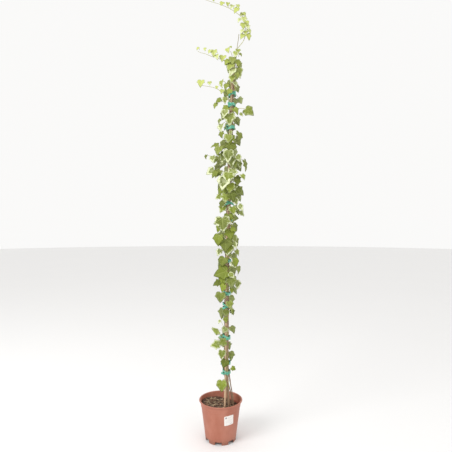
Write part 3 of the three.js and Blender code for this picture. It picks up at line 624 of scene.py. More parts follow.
def along(points: Sequence[Vector], step: float) -> list[Vector]:
    """Returns a smooth line through points.

    Args:
        points: where the line passes, in order.
        step: about how far apart the new points are.

    Returns:
        The points of a Catmull-Rom curve.
    """
    ends = [points[0] * 2 - points[1], *points, points[-1] * 2 - points[-2]]
    line: list[Vector] = []
    for a, b, c, d in zip(ends, ends[1:], ends[2:], ends[3:]):
        count = max(1, round((c - b).length / step))
        for i in range(count):
            t = i / count
            square, cube = 2 * a - 5 * b + 4 * c - d, 3 * b - a - 3 * c + d
            line.append(0.5 * (2 * b + (c - a) * t + square * t**2 + cube * t**3))
    return [*line, points[-1].copy()]


def tube(
    sketch: Sketch,
    line: Sequence[Vector],
    sides: int,
    radius: Callable[[float, float], float],
    carry: Callable[[float], Carried] | None = None,
    face: Carried | None = None,
) -> None:
    """Draws a closed tube.

    Args:
        sketch: the drawing it is added to.
        line: its centreline.
        sides: how many points go round it.
        radius: its radius at a share of its length and an angle.
        carry: what its points carry at a share of its length.
        face: what its faces carry.
    """
    side = (line[1] - line[0]).orthogonal().normalized()
    rings = []
    for number, centre in enumerate(line):
        ahead = line[min(number + 1, len(line) - 1)] - line[max(number - 1, 0)]
        ahead.normalize()
        side = (side - ahead * side.dot(ahead)).normalized()
        other = ahead.cross(side)
        share = number / (len(line) - 1)
        held = carry(share) if carry else {}
        ring = []
        for i in range(sides):
            angle = 2 * math.pi * i / sides
            out = side * math.cos(angle) + other * math.sin(angle)
            ring.append(sketch.point(centre + out * radius(share, angle), **held))
        rings.append(ring)
    sketch.skin(rings, **(face or {}))


class Packed:
    """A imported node's mesh, with points that lie on each other merged."""

    def __init__(self, node: str) -> None:
        """Reads a node.

        Args:
            node: its name.
        """
        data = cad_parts[node].data
        places = np.empty(len(data.vertices) * 3)
        data.vertices.foreach_get("co", places)
        merged, index = np.unique(np.round(places.reshape(-1, 3), 6), axis=0, return_inverse=True)
        index = index.reshape(-1)
        self.points = [Vector(p) for p in merged]
        self.near: dict[int, set[int]] = defaultdict(set)
        for polygon in data.polygons:
            corners = [int(index[i]) for i in polygon.vertices]
            for a, b in zip(corners, corners[1:] + corners[:1]):
                if a != b:
                    self.near[a].add(b)
                    self.near[b].add(a)

    def mean(self, numbers: Sequence[int] | set[int]) -> Vector:
        """Returns the middle of some of its points."""
        return sum((self.points[i] for i in numbers), Vector()) / len(numbers)

    def levels(self, gap: float = 1.4 * MM) -> list[tuple[Vector, float]]:
        """Reads an upright tube's rings from the ground up.

        Args:
            gap: rings are further apart than this in height.

        Returns:
            Each ring's middle and radius.
        """
        order = sorted(self.points, key=lambda p: p.z)
        groups = [[order[0]]]
        for point in order[1:]:
            if point.z - groups[-1][-1].z > gap:
                groups.append([])
            groups[-1].append(point)
        rings = [group for group in groups if len(group) >= 4]
        middles = [sum(ring, Vector()) / len(ring) for ring in rings]
        return [(m, max((p - m).length for p in ring)) for m, ring in zip(middles, rings)]


def add(piece: bpy.types.Object, slot: str, *nodes: str) -> None:
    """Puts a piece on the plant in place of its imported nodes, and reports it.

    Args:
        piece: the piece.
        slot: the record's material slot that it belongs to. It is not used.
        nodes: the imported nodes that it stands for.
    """
    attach(piece, "root")
    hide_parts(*nodes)
    log.info("%s: %d faces", piece.name, len(piece.data.polygons))


# ------------------------------------------------------------------ pot, soil and label


@dataclass(frozen=True)
class Pot:
    """The nursery pot: a tapered wall, a shoulder, a rolled rim and a footed base.

    The two rows of heights are in millimetres, and 12.4 is where the notches end.
    """

    foot: float = 60 * MM
    shoulder: float = 77 * MM
    shoulder_height: float = 130 * MM
    step: float = 1.2 * MM
    step_rise: float = 1.5 * MM
    wall: float = 1.6 * MM
    rim_depth: float = 5 * MM
    floor: float = 8 * MM
    pad: float = 11.6 * MM
    ledge: float = 7 * MM
    rib_ends: tuple[float, float] = (11.2 * MM, 57.9 * MM)
    notches: int = 7
    notch_width: float = 26 * MM
    notch_turn: float = -8.9
    per_notch: int = 24
    floor_sides: int = 84
    outer_heights: tuple[float, ...] = (
        12.4, 30, 50, 70, 90, 110, 126, 129.2, 130, 130.4, 131.1, 131.5, 133, 142, 149.6,
    )
    inner_heights: tuple[float, ...] = (149, 142, 133, 131.5, 130, 126, 110, 90, 70, 50, 30, 12.4)

    def radius(self, z: float) -> float:
        """Works out the wall's outside radius.

        Args:
            z: a height.

        Returns:
            The radius there.
        """
        rise = (self.shoulder - self.foot) / self.shoulder_height
        lift = min(1.0, max(0.0, (z - self.shoulder_height) / self.step_rise))
        return self.foot + rise * z + self.step * lift

    def profile(self) -> list[tuple[float, float]]:
        """Works out the wall's section.

        Returns:
            Its points as (radius, height), from the outside of the foot over the rim to the inside.
        """
        low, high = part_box("nursery_pot")
        top, rim = high.z, (high.y - low.y) / 2
        under = top - self.rim_depth
        mouth, base = self.radius(top) - self.wall, self.foot - self.wall
        outside = [(self.foot - 0.3 * MM, 0.0), (self.radius(0.6 * MM), 0.6 * MM)]
        outside += [(self.radius(z * MM), z * MM) for z in self.outer_heights]
        lip = [(self.radius(under) + 0.5 * MM, under - 0.2 * MM)]
        lip += [(rim - r * MM, under + z * MM) for r, z in ((1.6, 0.1), (0.5, 0.9), (0.0, 2.2))]
        lip += [(rim - r * MM, top - z * MM) for r, z in ((0.0, 2.0), (0.4, 0.8), (1.3, 0.1), (2.6, 0.0))]
        lip += [(mouth + r * MM, top - z * MM) for r, z in ((1.2, 0.2), (0.2, 0.9))]
        inside = [(self.radius(z * MM) - self.wall, z * MM) for z in self.inner_heights]
        return outside + lip + inside + [(base, 0.6 * MM), (base, 0)]

    def build(self) -> bpy.types.Object:
        """Draws the wall round the axis, leaving the notches out, and the floor inside it.

        Returns:
            The pot.
        """
        sketch = Sketch()
        sides = self.notches * self.per_notch
        section = self.profile()
        columns = []
        for i in range(sides):
            unit, within = divmod(i, self.per_notch)
            share = within / (self.per_notch / 2) - 1
            out = around(self._start() + unit * 2 * math.pi / self.notches + self._turn(share))
            columns.append(([sketch.point(out * r + UP * z) for r, z in section], abs(share) <= 0.5001))
        last = len(section) - 1
        foot = (0, 1, 2, last - 2, last - 1, last)
        for i, (column, cut) in enumerate(columns):
            after, after_cut = columns[(i + 1) % sides]
            opened = cut and after_cut
            for k in range(2, last - 2) if opened else range(last):
                sketch.face((column[k], after[k], after[k + 1], column[k + 1]))
            low, high = (last - 2, 2) if opened else (last, 0)
            sketch.face((column[high], column[low], after[low], after[high]))
            if cut and not columns[i - 1][1]:
                sketch.face([column[k] for k in foot])
            if cut and not after_cut:
                sketch.face([column[k] for k in reversed(foot)])
        self._floor(sketch)
        return sketch.make("nursery_pot_shell", PotFinish().make(), 35)

    def _start(self) -> float:
        """Returns the angle of the first notch's middle."""
        return math.radians(self.notch_turn - 90)

    def _turn(self, share: float) -> float:
        """Works out where a column of points stands, so that columns meet the notches' edges.

        Args:
            share: its place from -1 to 1, with the notch from -0.5 to 0.5.

        Returns:
            Its angle from the middle of the notch.
        """
        half = math.asin(self.notch_width / 2 / self.foot)
        if abs(share) <= 0.5:
            return share * half / 0.5
        rest = math.pi / self.notches - half
        return math.copysign(half, share) + math.copysign((abs(share) - 0.5) / 0.5 * rest, share)

    def _floor(self, sketch: Sketch) -> None:
        """Draws the floor plate, its middle pad and its ribs.

        Args:
            sketch: the drawing.
        """
        thick = self.floor + self.wall
        inner = self.foot - self.wall - 0.2 * MM - self.ledge
        rings = (
            (self.pad - 0.6 * MM, 0.0), (self.pad, 0.5 * MM), (self.pad, self.floor), (inner, self.floor),
            (inner, thick), (20 * MM, thick + self.wall * 0.2),
        )
        sketch.skin([sketch.circle(r, z, self.floor_sides) for r, z in rings])
        near, far = self.rib_ends
        for i in range(self.notches):
            out = around(self._start() + (i + 0.5) * 2 * math.pi / self.notches)
            across = UP.cross(out)
            ends = []
            for z, half in ((0.4 * MM, 0.7 * MM), (thick, 1.0 * MM)):
                corners = ((near, -half), (far, -half), (far, half), (near, half))
                ends.append([sketch.point(out * r + across * w + UP * z) for r, w in corners])
            sketch.skin(ends)


@dataclass
class Soil:
    """The soil: a crumbly bed with bark, straw and a root on it."""

    rings: int = 44
    sides: int = 120
    crumbs: int = 900
    straws: int = 120
    seed: int = 17
    skirt: float = 14 * MM
    foot: float = 60 * MM
    from_wall: float = 1.75 * MM
    safe_reach: float = 69 * MM
    coarse: tuple[tuple[float, float], ...] = ((90, 2.2), (260, 1.3), (600, 0.7))
    root: tuple[tuple[float, float, float], ...] = ((28, -30, 2), (44, -36, 5), (60, -26, 3))
    surface: BVHTree = field(init=False)

    def __post_init__(self) -> None:
        """Takes the packed soil's faces, to find its top by."""
        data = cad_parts["potting_soil"].data
        places = [v.co.copy() for v in data.vertices]
        self.surface = BVHTree.FromPolygons(places, [tuple(p.vertices) for p in data.polygons])

    def build(self) -> bpy.types.Object:
        """Draws the bed over the packed soil's top and scatters crumbs on it.

        Returns:
            The soil.
        """
        rng = random.Random(self.seed)
        sketch = Sketch()
        rings = []
        for k in range(self.rings + 1):
            share = 1 - k / (self.rings + 1)
            angles = [2 * math.pi * i / self.sides + share * 0.4 for i in range(self.sides)]
            rings.append([sketch.point(self.top(a, share)) for a in angles])
        sunk = [sketch.point(sketch.points[i] - UP * self.skirt) for i in rings[0]]
        for low, high in zip([sunk, *rings], rings):
            for i in range(self.sides):
                j = (i + 1) % self.sides
                sketch.face((low[i], low[j], high[j], high[i]), crumb=(0, 0.2, 0))
        sketch.face(sunk[::-1], crumb=(0, 0, 0))
        sketch.face(rings[-1], crumb=(0, 0.2, 0))
        for _ in range(self.crumbs):
            self._crumb(sketch, rng)
        for _ in range(self.straws):
            self._straw(sketch, rng)
        root = [Vector(p) * MM for p in self.root]
        for p in root:
            p.z += self.level(p.x, p.y)
        tube(sketch, along(root, 3 * MM), 7, taper(1.5, 0.7), face={"crumb": (0.9, 0, 0)})
        return sketch.make("potting_soil_bed", SoilFinish().make())

    def level(self, x: float, y: float) -> float:
        """Returns the height of the packed soil's top under a place."""
        hit = self.surface.ray_cast(Vector((x, y, 0.2)), Vector((0, 0, -1)))[0]
        return hit.z if hit else 0.13

    def top(self, angle: float, share: float) -> Vector:
        """Finds a point of the crumbly top.

        Args:
            angle: its direction from the axis.
            share: how far out it is, 1 being the pot's wall.

        Returns:
            The point.
        """
        out = around(angle)
        edge = self.level(out.x * 0.066, out.y * 0.066)
        reach = self.foot + (edge - 4 * MM) * WALL_SLOPE - self.from_wall
        place = out * reach * share
        inner = place * min(1.0, self.safe_reach / max(place.length, 1e-6))
        z = self.level(inner.x, inner.y)
        rough = sum(noise.noise(place * cells) * size for cells, size in self.coarse)
        return Vector((place.x, place.y, z + (rough - 0.4) * MM - 1.2 * MM * share**6))

    def _crumb(self, sketch: Sketch, rng: random.Random) -> None:
        """Adds a rough lump of soil, or a chip of bark.

        Args:
            sketch: the drawing.
            rng: the soil's random numbers.
        """
        where = self.top(rng.uniform(0, 2 * math.pi), math.sqrt(rng.random()) * 0.97)
        chip = rng.random() < 0.3
        size = rng.uniform(1.6, 4.2) * MM if chip else rng.uniform(0.8, 2.4) * MM
        flat = rng.uniform(0.35, 0.6) if chip else rng.uniform(0.6, 1.0)
        tone = (0.3 if chip else 0.1, rng.random(), 0)
        turn, long = rng.uniform(0, math.pi), rng.uniform(1.0, 1.8)
        rows = []
        for height, wide in ((-0.6, 0.7), (0.15, 1.0), (0.75, 0.6)):
            row = []
            for i in range(5):
                out = around(turn + i * 2 * math.pi / 5) * size * wide * rng.uniform(0.7, 1.2)
                row.append(sketch.point(where + Vector((out.x * long, out.y, height * size * flat))))
            rows.append(row)
        sketch.skin(rows, crumb=tone)

    def _straw(self, sketch: Sketch, rng: random.Random) -> None:
        """Adds a bent straw that lies on the soil.

        Args:
            sketch: the drawing.
            rng: the soil's random numbers.
        """
        where = self.top(rng.uniform(0, 2 * math.pi), math.sqrt(rng.random()) * 0.8) + UP * 1.3 * MM
        turn, length = rng.uniform(0, math.pi), rng.uniform(5, 17) * MM
        lean = around(turn, rng.uniform(-0.12, 0.3)) * length / 2
        bend = Vector((rng.uniform(-1, 1), rng.uniform(-1, 1), 0.5)) * 1.2 * MM
        thick = rng.uniform(0.3, 0.75)
        line = along([where - lean, where + bend, where + lean], 3 * MM)
        tube(sketch, line, 5, taper(thick, 0.0), face={"crumb": (0.6, rng.random() ** 2, 0)})


@dataclass(frozen=True)
class Label:
    """The paper sticker on the pot's front."""

    pot: Pot
    width: float = 39 * MM
    height: float = 38 * MM
    azimuth: float = 26.5
    middle: float = 100 * MM
    turn: float = 4.0
    off_wall: float = 0.12 * MM
    thickness: float = 0.3 * MM
    rounding: float = 0.035
    top_lift: float = 0.9 * MM
    side_lift: float = 0.25 * MM
    steps: int = 18

    def build(self) -> bpy.types.Object:
        """Draws the sheet bent round the wall, with rounded corners and one lifted corner.

        Returns:
            The label.
        """
        sketch = Sketch()
        n = self.steps
        inner, outer = (
            [[self._corner(sketch, i / n, j / n, out) for i in range(n + 1)] for j in range(n + 1)]
            for out in (self.off_wall, self.off_wall + self.thickness)
        )
        for j in range(n):
            for i in range(n):
                sketch.face((outer[j][i], outer[j][i + 1], outer[j + 1][i + 1], outer[j + 1][i]))
                sketch.face((inner[j][i], inner[j + 1][i], inner[j + 1][i + 1], inner[j][i + 1]))
        for i in range(n):
            sketch.face((inner[0][i], inner[0][i + 1], outer[0][i + 1], outer[0][i]))
            sketch.face((inner[n][i + 1], inner[n][i], outer[n][i], outer[n][i + 1]))
            sketch.face((inner[i + 1][0], inner[i][0], outer[i][0], outer[i + 1][0]))
            sketch.face((inner[i][n], inner[i + 1][n], outer[i + 1][n], outer[i][n]))
        return sketch.make("price_label", LabelFinish().make(), 40)

    def _corner(self, sketch: Sketch, x: float, y: float, out: float) -> int:
        """Adds a point of the sheet.

        Args:
            sketch: the drawing.
            x: the share across, from the left.
            y: the share up.
            out: how far the point stands off the wall.

        Returns:
            The point's number.
        """
        u, v = (x - 0.5) * 2, (y - 0.5) * 2
        squeeze = 1 - self.rounding * (abs(u) ** 8) * (abs(v) ** 8)
        right, up = u * squeeze * self.width / 2, v * squeeze * self.height / 2
        shift = math.radians(self.turn)
        across = right * math.cos(shift) - up * math.sin(shift)
        z = self.middle + up * math.cos(shift) + right * math.sin(shift)
        lifted = self.top_lift * max(0.0, (u + v) / 2 - 0.62) / 0.38
        lifted += self.side_lift * max(0.0, -u * v - 0.7)
        radius = self.pot.radius(z) + out + lifted
        place = around(math.radians(self.azimuth - 90) + across / radius) * radius + UP * z
        return sketch.point(place, sheet=(x, y, 0))


# ------------------------------------------------------------------ canes, stems and ties


@dataclass
class Cane:
    """A bamboo cane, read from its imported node."""

    node: str
    finish: BambooFinish
    sides: int = 14
    step: float = 4 * MM
    proud: float = 0.3 * MM
    levels: list[tuple[Vector, float]] = field(init=False)
    line: list[Vector] = field(init=False)

    def __post_init__(self) -> None:
        """Reads the cane's rings."""
        self.levels = Packed(self.node).levels()
        self.line = along([middle for middle, _ in self.levels], 20 * MM)

    def at(self, z: float) -> Vector:
        """Finds a point of the centreline.

        Args:
            z: its height.

        Returns:
            The point. Over the top, the last direction is carried on.
        """
        for a, b in zip(self.line, self.line[1:]):
            if b.z >= z:
                return a.lerp(b, max(0.0, (z - a.z) / (b.z - a.z)))
        return self.line[-1] + (self.line[-1] - self.line[-2]).normalized() * (z - self.line[-1].z)

    def joints(self) -> list[float]:
        """Finds the joints: rings that stand proud of those beside them, and one between each pair.

        Returns:
            Their heights, from the ground up.
        """
        radii = [radius for _, radius in self.levels]
        beside = [max(pair) for pair in zip(radii, radii[2:])]
        swollen = zip(self.levels[1:], beside)
        found = [ring[0].z for ring, most in swollen if ring[1] > most + self.proud]
        return sorted(found + [(a + b) / 2 for a, b in zip(found, found[1:])])

    def build(self) -> bpy.types.Object:
        """Draws the cane with swollen joints, a groove over each, and a cut top.

        Returns:
            The cane.
        """
        low, high = self.line[0].z, self.line[-1].z
        count = round((high - low) / self.step)
        line = [self.at(low + (high - low) * i / count) for i in range(count + 1)]
        foot, tip = self.levels[0][1], self.levels[-1][1]
        joints = self.joints()

        def radius(share: float, angle: float) -> float:
            """Works out the cane's radius.

            Args:
                share: how far along the cane.
                angle: the direction round it.

            Returns:
                The radius.
            """
            z = low + (high - low) * share
            swell = 0.0
            for joint in joints:
                off = (z - joint) / MM
                swell += 0.75 * math.exp(-((off / 2.6) ** 2)) - 0.45 * math.exp(-(((off - 5.0) / 1.6) ** 2))
            own = foot + (tip - foot) * share
            return own * (0.985 + 0.02 * noise.noise(Vector((z * 14, angle, foot * 900)))) + swell * MM

        def carry(share: float) -> Carried:
            """Works out how near the nearest joint is, for the finish.

            Args:
                share: how far along the cane.

            Returns:
                What the points there carry.
            """
            z = low + (high - low) * share
            near = min((abs(z - joint) for joint in joints), default=1.0) / MM
            return {"joint": (math.exp(-((near / 3.0) ** 2)), 0, 0)}

        sketch = Sketch()
        tube(sketch, line, self.sides, radius, carry)
        return sketch.make(f"{self.node}_culm", self.finish.make(), 60)


@dataclass
class Stem:
    """A woody ivy stem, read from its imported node."""

    node: str
    seed: int
    sides: int = 10
    step: float = 5 * MM
    knots: int = 22
    rootlets: int = 60
    sway: float = 1.3 * MM
    levels: list[tuple[Vector, float]] = field(init=False)
    line: list[Vector] = field(init=False)

    def __post_init__(self) -> None:
        """Reads the stem's rings."""
        self.levels = Packed(self.node).levels()
        self.line = along([middle for middle, _ in self.levels], self.step)

    def near(self, place: Vector) -> Vector:
        """Returns the centreline's nearest point to a place."""
        return min(self.line, key=lambda p: (p - place).length_squared)

    def build(self, material: bpy.types.Material) -> bpy.types.Object:
        """Draws the stem with bark ridges that wind round it, knots, and fine rootlets.

        Args:
            material: the bark.

        Returns:
            The stem.
        """
        foot, tip = self.levels[0][1], self.levels[-1][1]
        rng = random.Random(self.seed)
        phase = rng.uniform(0, 6)
        knots = [rng.uniform(0.08, 0.95) for _ in range(self.knots)]

        def radius(share: float, angle: float) -> float:
            """Works out the stem's radius.

            Args:
                share: how far along the stem.
                angle: the direction round it.

            Returns:
                The radius.
            """
            own = foot + (tip - foot) * share
            ridge = 0.09 * math.sin(3 * angle + share * 70 + phase)
            ridge += 0.05 * math.sin(5 * angle - share * 160)
            rough = 0.12 * noise.noise(Vector((share * 170, angle * 1.5, phase)))
            knot = sum(0.32 * math.exp(-(((share - k) / 0.0035) ** 2)) for k in knots)
            return own * (0.86 + ridge + rough + knot)

        sketch = Sketch()
        line = []
        for number, p in enumerate(self.line):
            free = math.sin(min(1.0, number / 8) * math.pi / 2)
            shift = [noise.noise(p * 26 + Vector(turn)) for turn in ((phase, 0, 0), (0, phase, 0))]
            line.append(p + Vector((*shift, 0)) * self.sway * free)
        tube(sketch, line, self.sides, radius)
        for _ in range(self.rootlets):
            start = line[int(rng.uniform(0.05, 0.8) * len(line))]
            out = around(rng.uniform(0, 2 * math.pi), rng.uniform(-0.5, 0.3))
            bend = start + out * rng.uniform(2.5, 4.0) * MM
            end = start + out * rng.uniform(4.0, 5.5) * MM
            end.z -= rng.uniform(0.2, 1.4) * MM
            tube(sketch, [start, bend, end], 3, taper(0.32, 0.2))
        return sketch.make(f"{self.node}_bark", material)


@dataclass(frozen=True)
class Loop:
    """Where a tie's loop runs round the canes and stems. Its knot is at the facing angle."""

    middle: Vector
    wide: float
    deep: float
    facing: float

    def out(self, angle: float) -> Vector:
        """Returns the loop's place at an angle, from its middle."""
        return Vector((math.cos(angle) * self.wide, math.sin(angle) * self.deep, 0))


@dataclass(frozen=True)
class Tie:
    """A strip of tying tape round canes and stems, knotted, with two tails."""

    number: int
    canes: tuple[Cane, Cane]
    height: float = 9.5 * MM
    thickness: float = 0.35 * MM
    widest: float = 30 * MM
    steps: int = 56
    across: int = 5
    bands: tuple[tuple[float, float], ...] = ((-0.17, 0.35), (0.13, -0.3))
    knot_size: tuple[float, float, float] = (2.9 * MM, 2.4 * MM, 4.2 * MM)

    @property
    def node(self) -> str:
        """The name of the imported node."""
        return f"tape_tie_{self.number:02d}"

    def build(self, material: bpy.types.Material) -> bpy.types.Object:
        """Draws the crumpled loop, the knot and the tails.

        Args:
            material: the tape.

        Returns:
            The tie.
        """
        rng = random.Random(self.number * 31)
        loop = self._loop()
        sketch = Sketch()
        for tilt, lift in self.bands:
            self._band(sketch, loop, tilt * rng.uniform(0.6, 1.3), lift * self.height)
        knot = loop.middle + loop.out(loop.facing) * 1.07
        self._knot(sketch, knot, rng)
        for side in (-1, 1):
            self._tail(sketch, knot, loop.facing, side, rng)
        return sketch.make(f"tape_{self.number:02d}", material)

    def _loop(self) -> Loop:
        """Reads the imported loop, leaving out its tails.

        Returns:
            The loop. Every third knot is at the side, and the others are in front.
        """
        low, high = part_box(self.node)
        z = (low.z + high.z) / 2
        middle = (self.canes[0].at(z) + self.canes[1].at(z)) / 2
        points = [p for p in Packed(self.node).points if (p - middle).xy.length < self.widest]
        back = max(p.y - middle.y for p in points)
        side = sorted(abs(p.x - middle.x) for p in points if abs(p.y - middle.y) < 5 * MM)
        wide = side[len(side) // 2] if side else back / 1.18
        index = self.number - 1
        facing = math.radians(200 if index % 3 == 2 else 268 + 9 * ((index % 4) - 1.5))
        return Loop(middle, min(wide, back / 1.1), back, facing)

    def _band(self, sketch: Sketch, loop: Loop, tilt: float, rise: float) -> None:
        """Adds one crumpled band.

        Args:
            sketch: the drawing.
            loop: where it runs.
            tilt: how much the band leans, as a slope.
            rise: how far above the middle the band lies.
        """
        seed = Vector((self.number * 3.1 + tilt * 40, 0, 0))
        rings = []
        for i in range(self.steps):
            angle = loop.facing + 2 * math.pi * i / self.steps
            near = (1 + math.cos(angle - loop.facing)) / 2
            pinch = 1 - 0.45 * near**10
            out = loop.out(angle)
            lift = rise + tilt * out.x * 2 + noise.noise(out * 60 + seed) * 2.2 * MM
            ring = []
            for skin, way in ((0.0, 1), (self.thickness, -1)):
                for k in range(self.across):
                    share = (k / (self.across - 1) - 0.5) * way
                    up = share * self.height * pinch * (1 + 0.3 * noise.noise(out * 80 + seed * 2))
                    fold = noise.noise(Vector((out.x, out.y, up)) * 240 + seed) * 1.1 * MM
                    off = out.normalized() * (fold + skin - 0.2 * MM)
                    ring.append(sketch.point(loop.middle + out + off + UP * (up + lift)))
            rings.append(ring)
        for ring, after in zip(rings, [*rings[1:], rings[0]]):
            for k, corner in enumerate(ring):
                j = (k + 1) % len(ring)
                sketch.face((corner, ring[j], after[j], after[k]))

    def _knot(self, sketch: Sketch, knot: Vector, rng: random.Random) -> None:
        """Adds the knot, a creased lump.

        Args:
            sketch: the drawing.
            knot: its middle.
            rng: the tie's random numbers.
        """
        wide, deep, tall = self.knot_size
        rows = []
        for j in range(7):
            level = -1 + 2 * j / 6
            row = []
            for i in range(10):
                r = math.sqrt(max(0.06, 1 - level**2)) * (1 + 0.28 * rng.uniform(-1, 1))
                out = around(2 * math.pi * i / 10) * r
                row.append(sketch.point(knot + Vector((out.x * wide, out.y * deep, level * tall))))
            rows.append(row)
        sketch.skin(rows)

    def _tail(self, sketch: Sketch, knot: Vector, facing: float, side: int, rng: random.Random) -> None:
        """Adds one tail, a curling ribbon cut at its end.

        Args:
            sketch: the drawing.
            knot: where the tail starts.
            facing: the knot's angle round the loop.
            side: -1 or 1, for one tail or the other.
            rng: the tie's random numbers.
        """
        length = rng.uniform(13, 22) * MM
        turn = facing + side * math.radians(rng.uniform(42, 72))
        out = around(turn, rng.uniform(-0.5, 0.35)).normalized()
        curl = rng.uniform(-0.5, 0.5)
        rings = []
        for i in range(11):
            share = i / 10
            place = knot + out * length * share + UP * math.sin(share * 3 + side) * 1.8 * MM
            up = (UP + UP.cross(out) * curl * share * 1.4).normalized()
            half = self.height * (0.16 + 0.3 * share)
            flat = out.cross(up).normalized() * self.thickness
            crease = out.cross(up) * math.sin(share * 9 + side) * 0.7 * MM
            corners = [up * half, up * half + flat, -up * half + flat, -up * half]
            rings.append([sketch.point(place + corner + crease) for corner in corners])
        sketch.skin(rings)


# ------------------------------------------------------------------ leaves


class Growth(Enum):
    """How old a shoot's leaves are."""

    GROWN = "grown"
    YOUNG = "young"


@dataclass(frozen=True)
class LeafPlace:
    """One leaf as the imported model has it: where its blade starts, the way it points, the way its
    upper side looks, how wide it is, and its petiole from the blade down."""

    base: Vector
    apex: Vector
    face: Vector
    width: float
    course: list[Vector]


@dataclass
class LeafReader:
    """Finds the leaves in a packed shoot.

    A blade there is a thin lens, whose two middle points join every point of its outline.
    """

    node: str
    thickness: float = 1.2 * MM
    play: float = 0.12 * MM
    least_corners: int = 9
    least_rim: int = 7
    apex_reach: float = 0.6336
    packed: Packed = field(init=False)
    used: set[int] = field(default_factory=set)

    def __post_init__(self) -> None:
        """Reads the node."""
        self.packed = Packed(self.node)

    def leaves(self) -> list[LeafPlace]:
        """Finds every leaf.

        Returns:
            The leaves, from the ground up.
        """
        near, points = self.packed.near, self.packed.points
        hubs = [i for i in near if len(near[i]) >= self.least_corners]
        found = []
        for n, a in enumerate(hubs):
            for b in hubs[n + 1 :]:
                apart = (points[a] - points[b]).length
                if abs(apart - self.thickness) < self.play and len(near[a] & near[b]) >= self.least_rim:
                    found.append(self._leaf(a, b))
        return sorted(filter(None, found), key=lambda leaf: leaf.base.z)

    def _leaf(self, a: int, b: int) -> LeafPlace | None:
        """Reads one leaf.

        Args:
            a: the number of one of the blade's middle points.
            b: the number of the other.

        Returns:
            The leaf, or None if its outline is too broken to read.
        """
        near, points = self.packed.near, self.packed.points
        rim = near[a] & near[b]
        middle = (points[a] + points[b]) / 2
        face = (points[a] - points[b]).normalized()
        if (self.packed.mean(rim) - middle).dot(face) > 0:
            face, a, b = -face, b, a
        tip = max(rim, key=lambda i: (points[i] - middle).length)
        reach = points[tip] - middle
        apex = (reach - face * reach.dot(face)).normalized()
        behind = [i for i in rim if (points[i] - middle).dot(apex) < 0]
        pairs = [(i, j) for i in behind for j in behind if i < j]
        if not pairs:
            return None
        pair = min(pairs, key=lambda ends: (points[ends[0]] - points[ends[1]]).length)
        base = (points[pair[0]] + points[pair[1]]) / 2
        under = near[b] - rim - {a}
        ring = (near[pair[0]] | near[pair[1]]) - rim - under - {a, b}
        if not ring:
            return None
        self.used |= rim | under | {a, b}
        course, before = [base], set(pair) | under | rim
        while 0 < len(ring) <= 4 and len(course) < 4:
            course.append(self.packed.mean(ring))
            self.used |= ring
            ring, before = set().union(*(near[i] for i in ring)) - ring - before, before | ring
        return LeafPlace(base, apex, face, reach.length / self.apex_reach, course)

    def twig(self) -> list[Vector]:
        """Finds the short twig that the leaves grow from, in what the leaves leave over.

        Returns:
            Its lower and upper end.
        """
        rest = [p for i, p in enumerate(self.packed.points) if i not in self.used]
        heights = [p.z for p in rest]
        ends = []
        for z in (min(heights), max(heights)):
            cluster = [p for p in rest if abs(p.z - z) < 1.2 * MM]
            ends.append(sum(cluster, Vector()) / len(cluster))
        return ends


@dataclass(frozen=True)
class Bend:
    """How a blade leaves its flat plane. Its places and heights are in leaf widths."""

    fold: float
    curl: float
    twist: float
    phase: float
    sag: float = 0.34
    ripple: float = 0.022
    groove: float = 0.014

    def lift(self, u: float, v: float, share: float, tip: float) -> float:
        """Works out how far the blade stands off its plane.

        Args:
            u: a place across it.
            v: the place along it.
            share: how far out to the rim the place is.
            tip: 1 on the way to a lobe's tip, and 0 elsewhere.

        Returns:
            The height.
        """
        sag = self.sag * (u * u * 0.6 + (v - 0.22) ** 2)
        ripple = self.ripple * share**2 * math.sin(7 * math.atan2(u, v - 0.1) + self.phase)
        groove = self.groove * tip * share * (1 - share) * 4
        curl = self.curl * max(0.0, v - 0.45) ** 2
        return self.fold * abs(u) - sag - curl + self.twist * u * v + ripple - groove


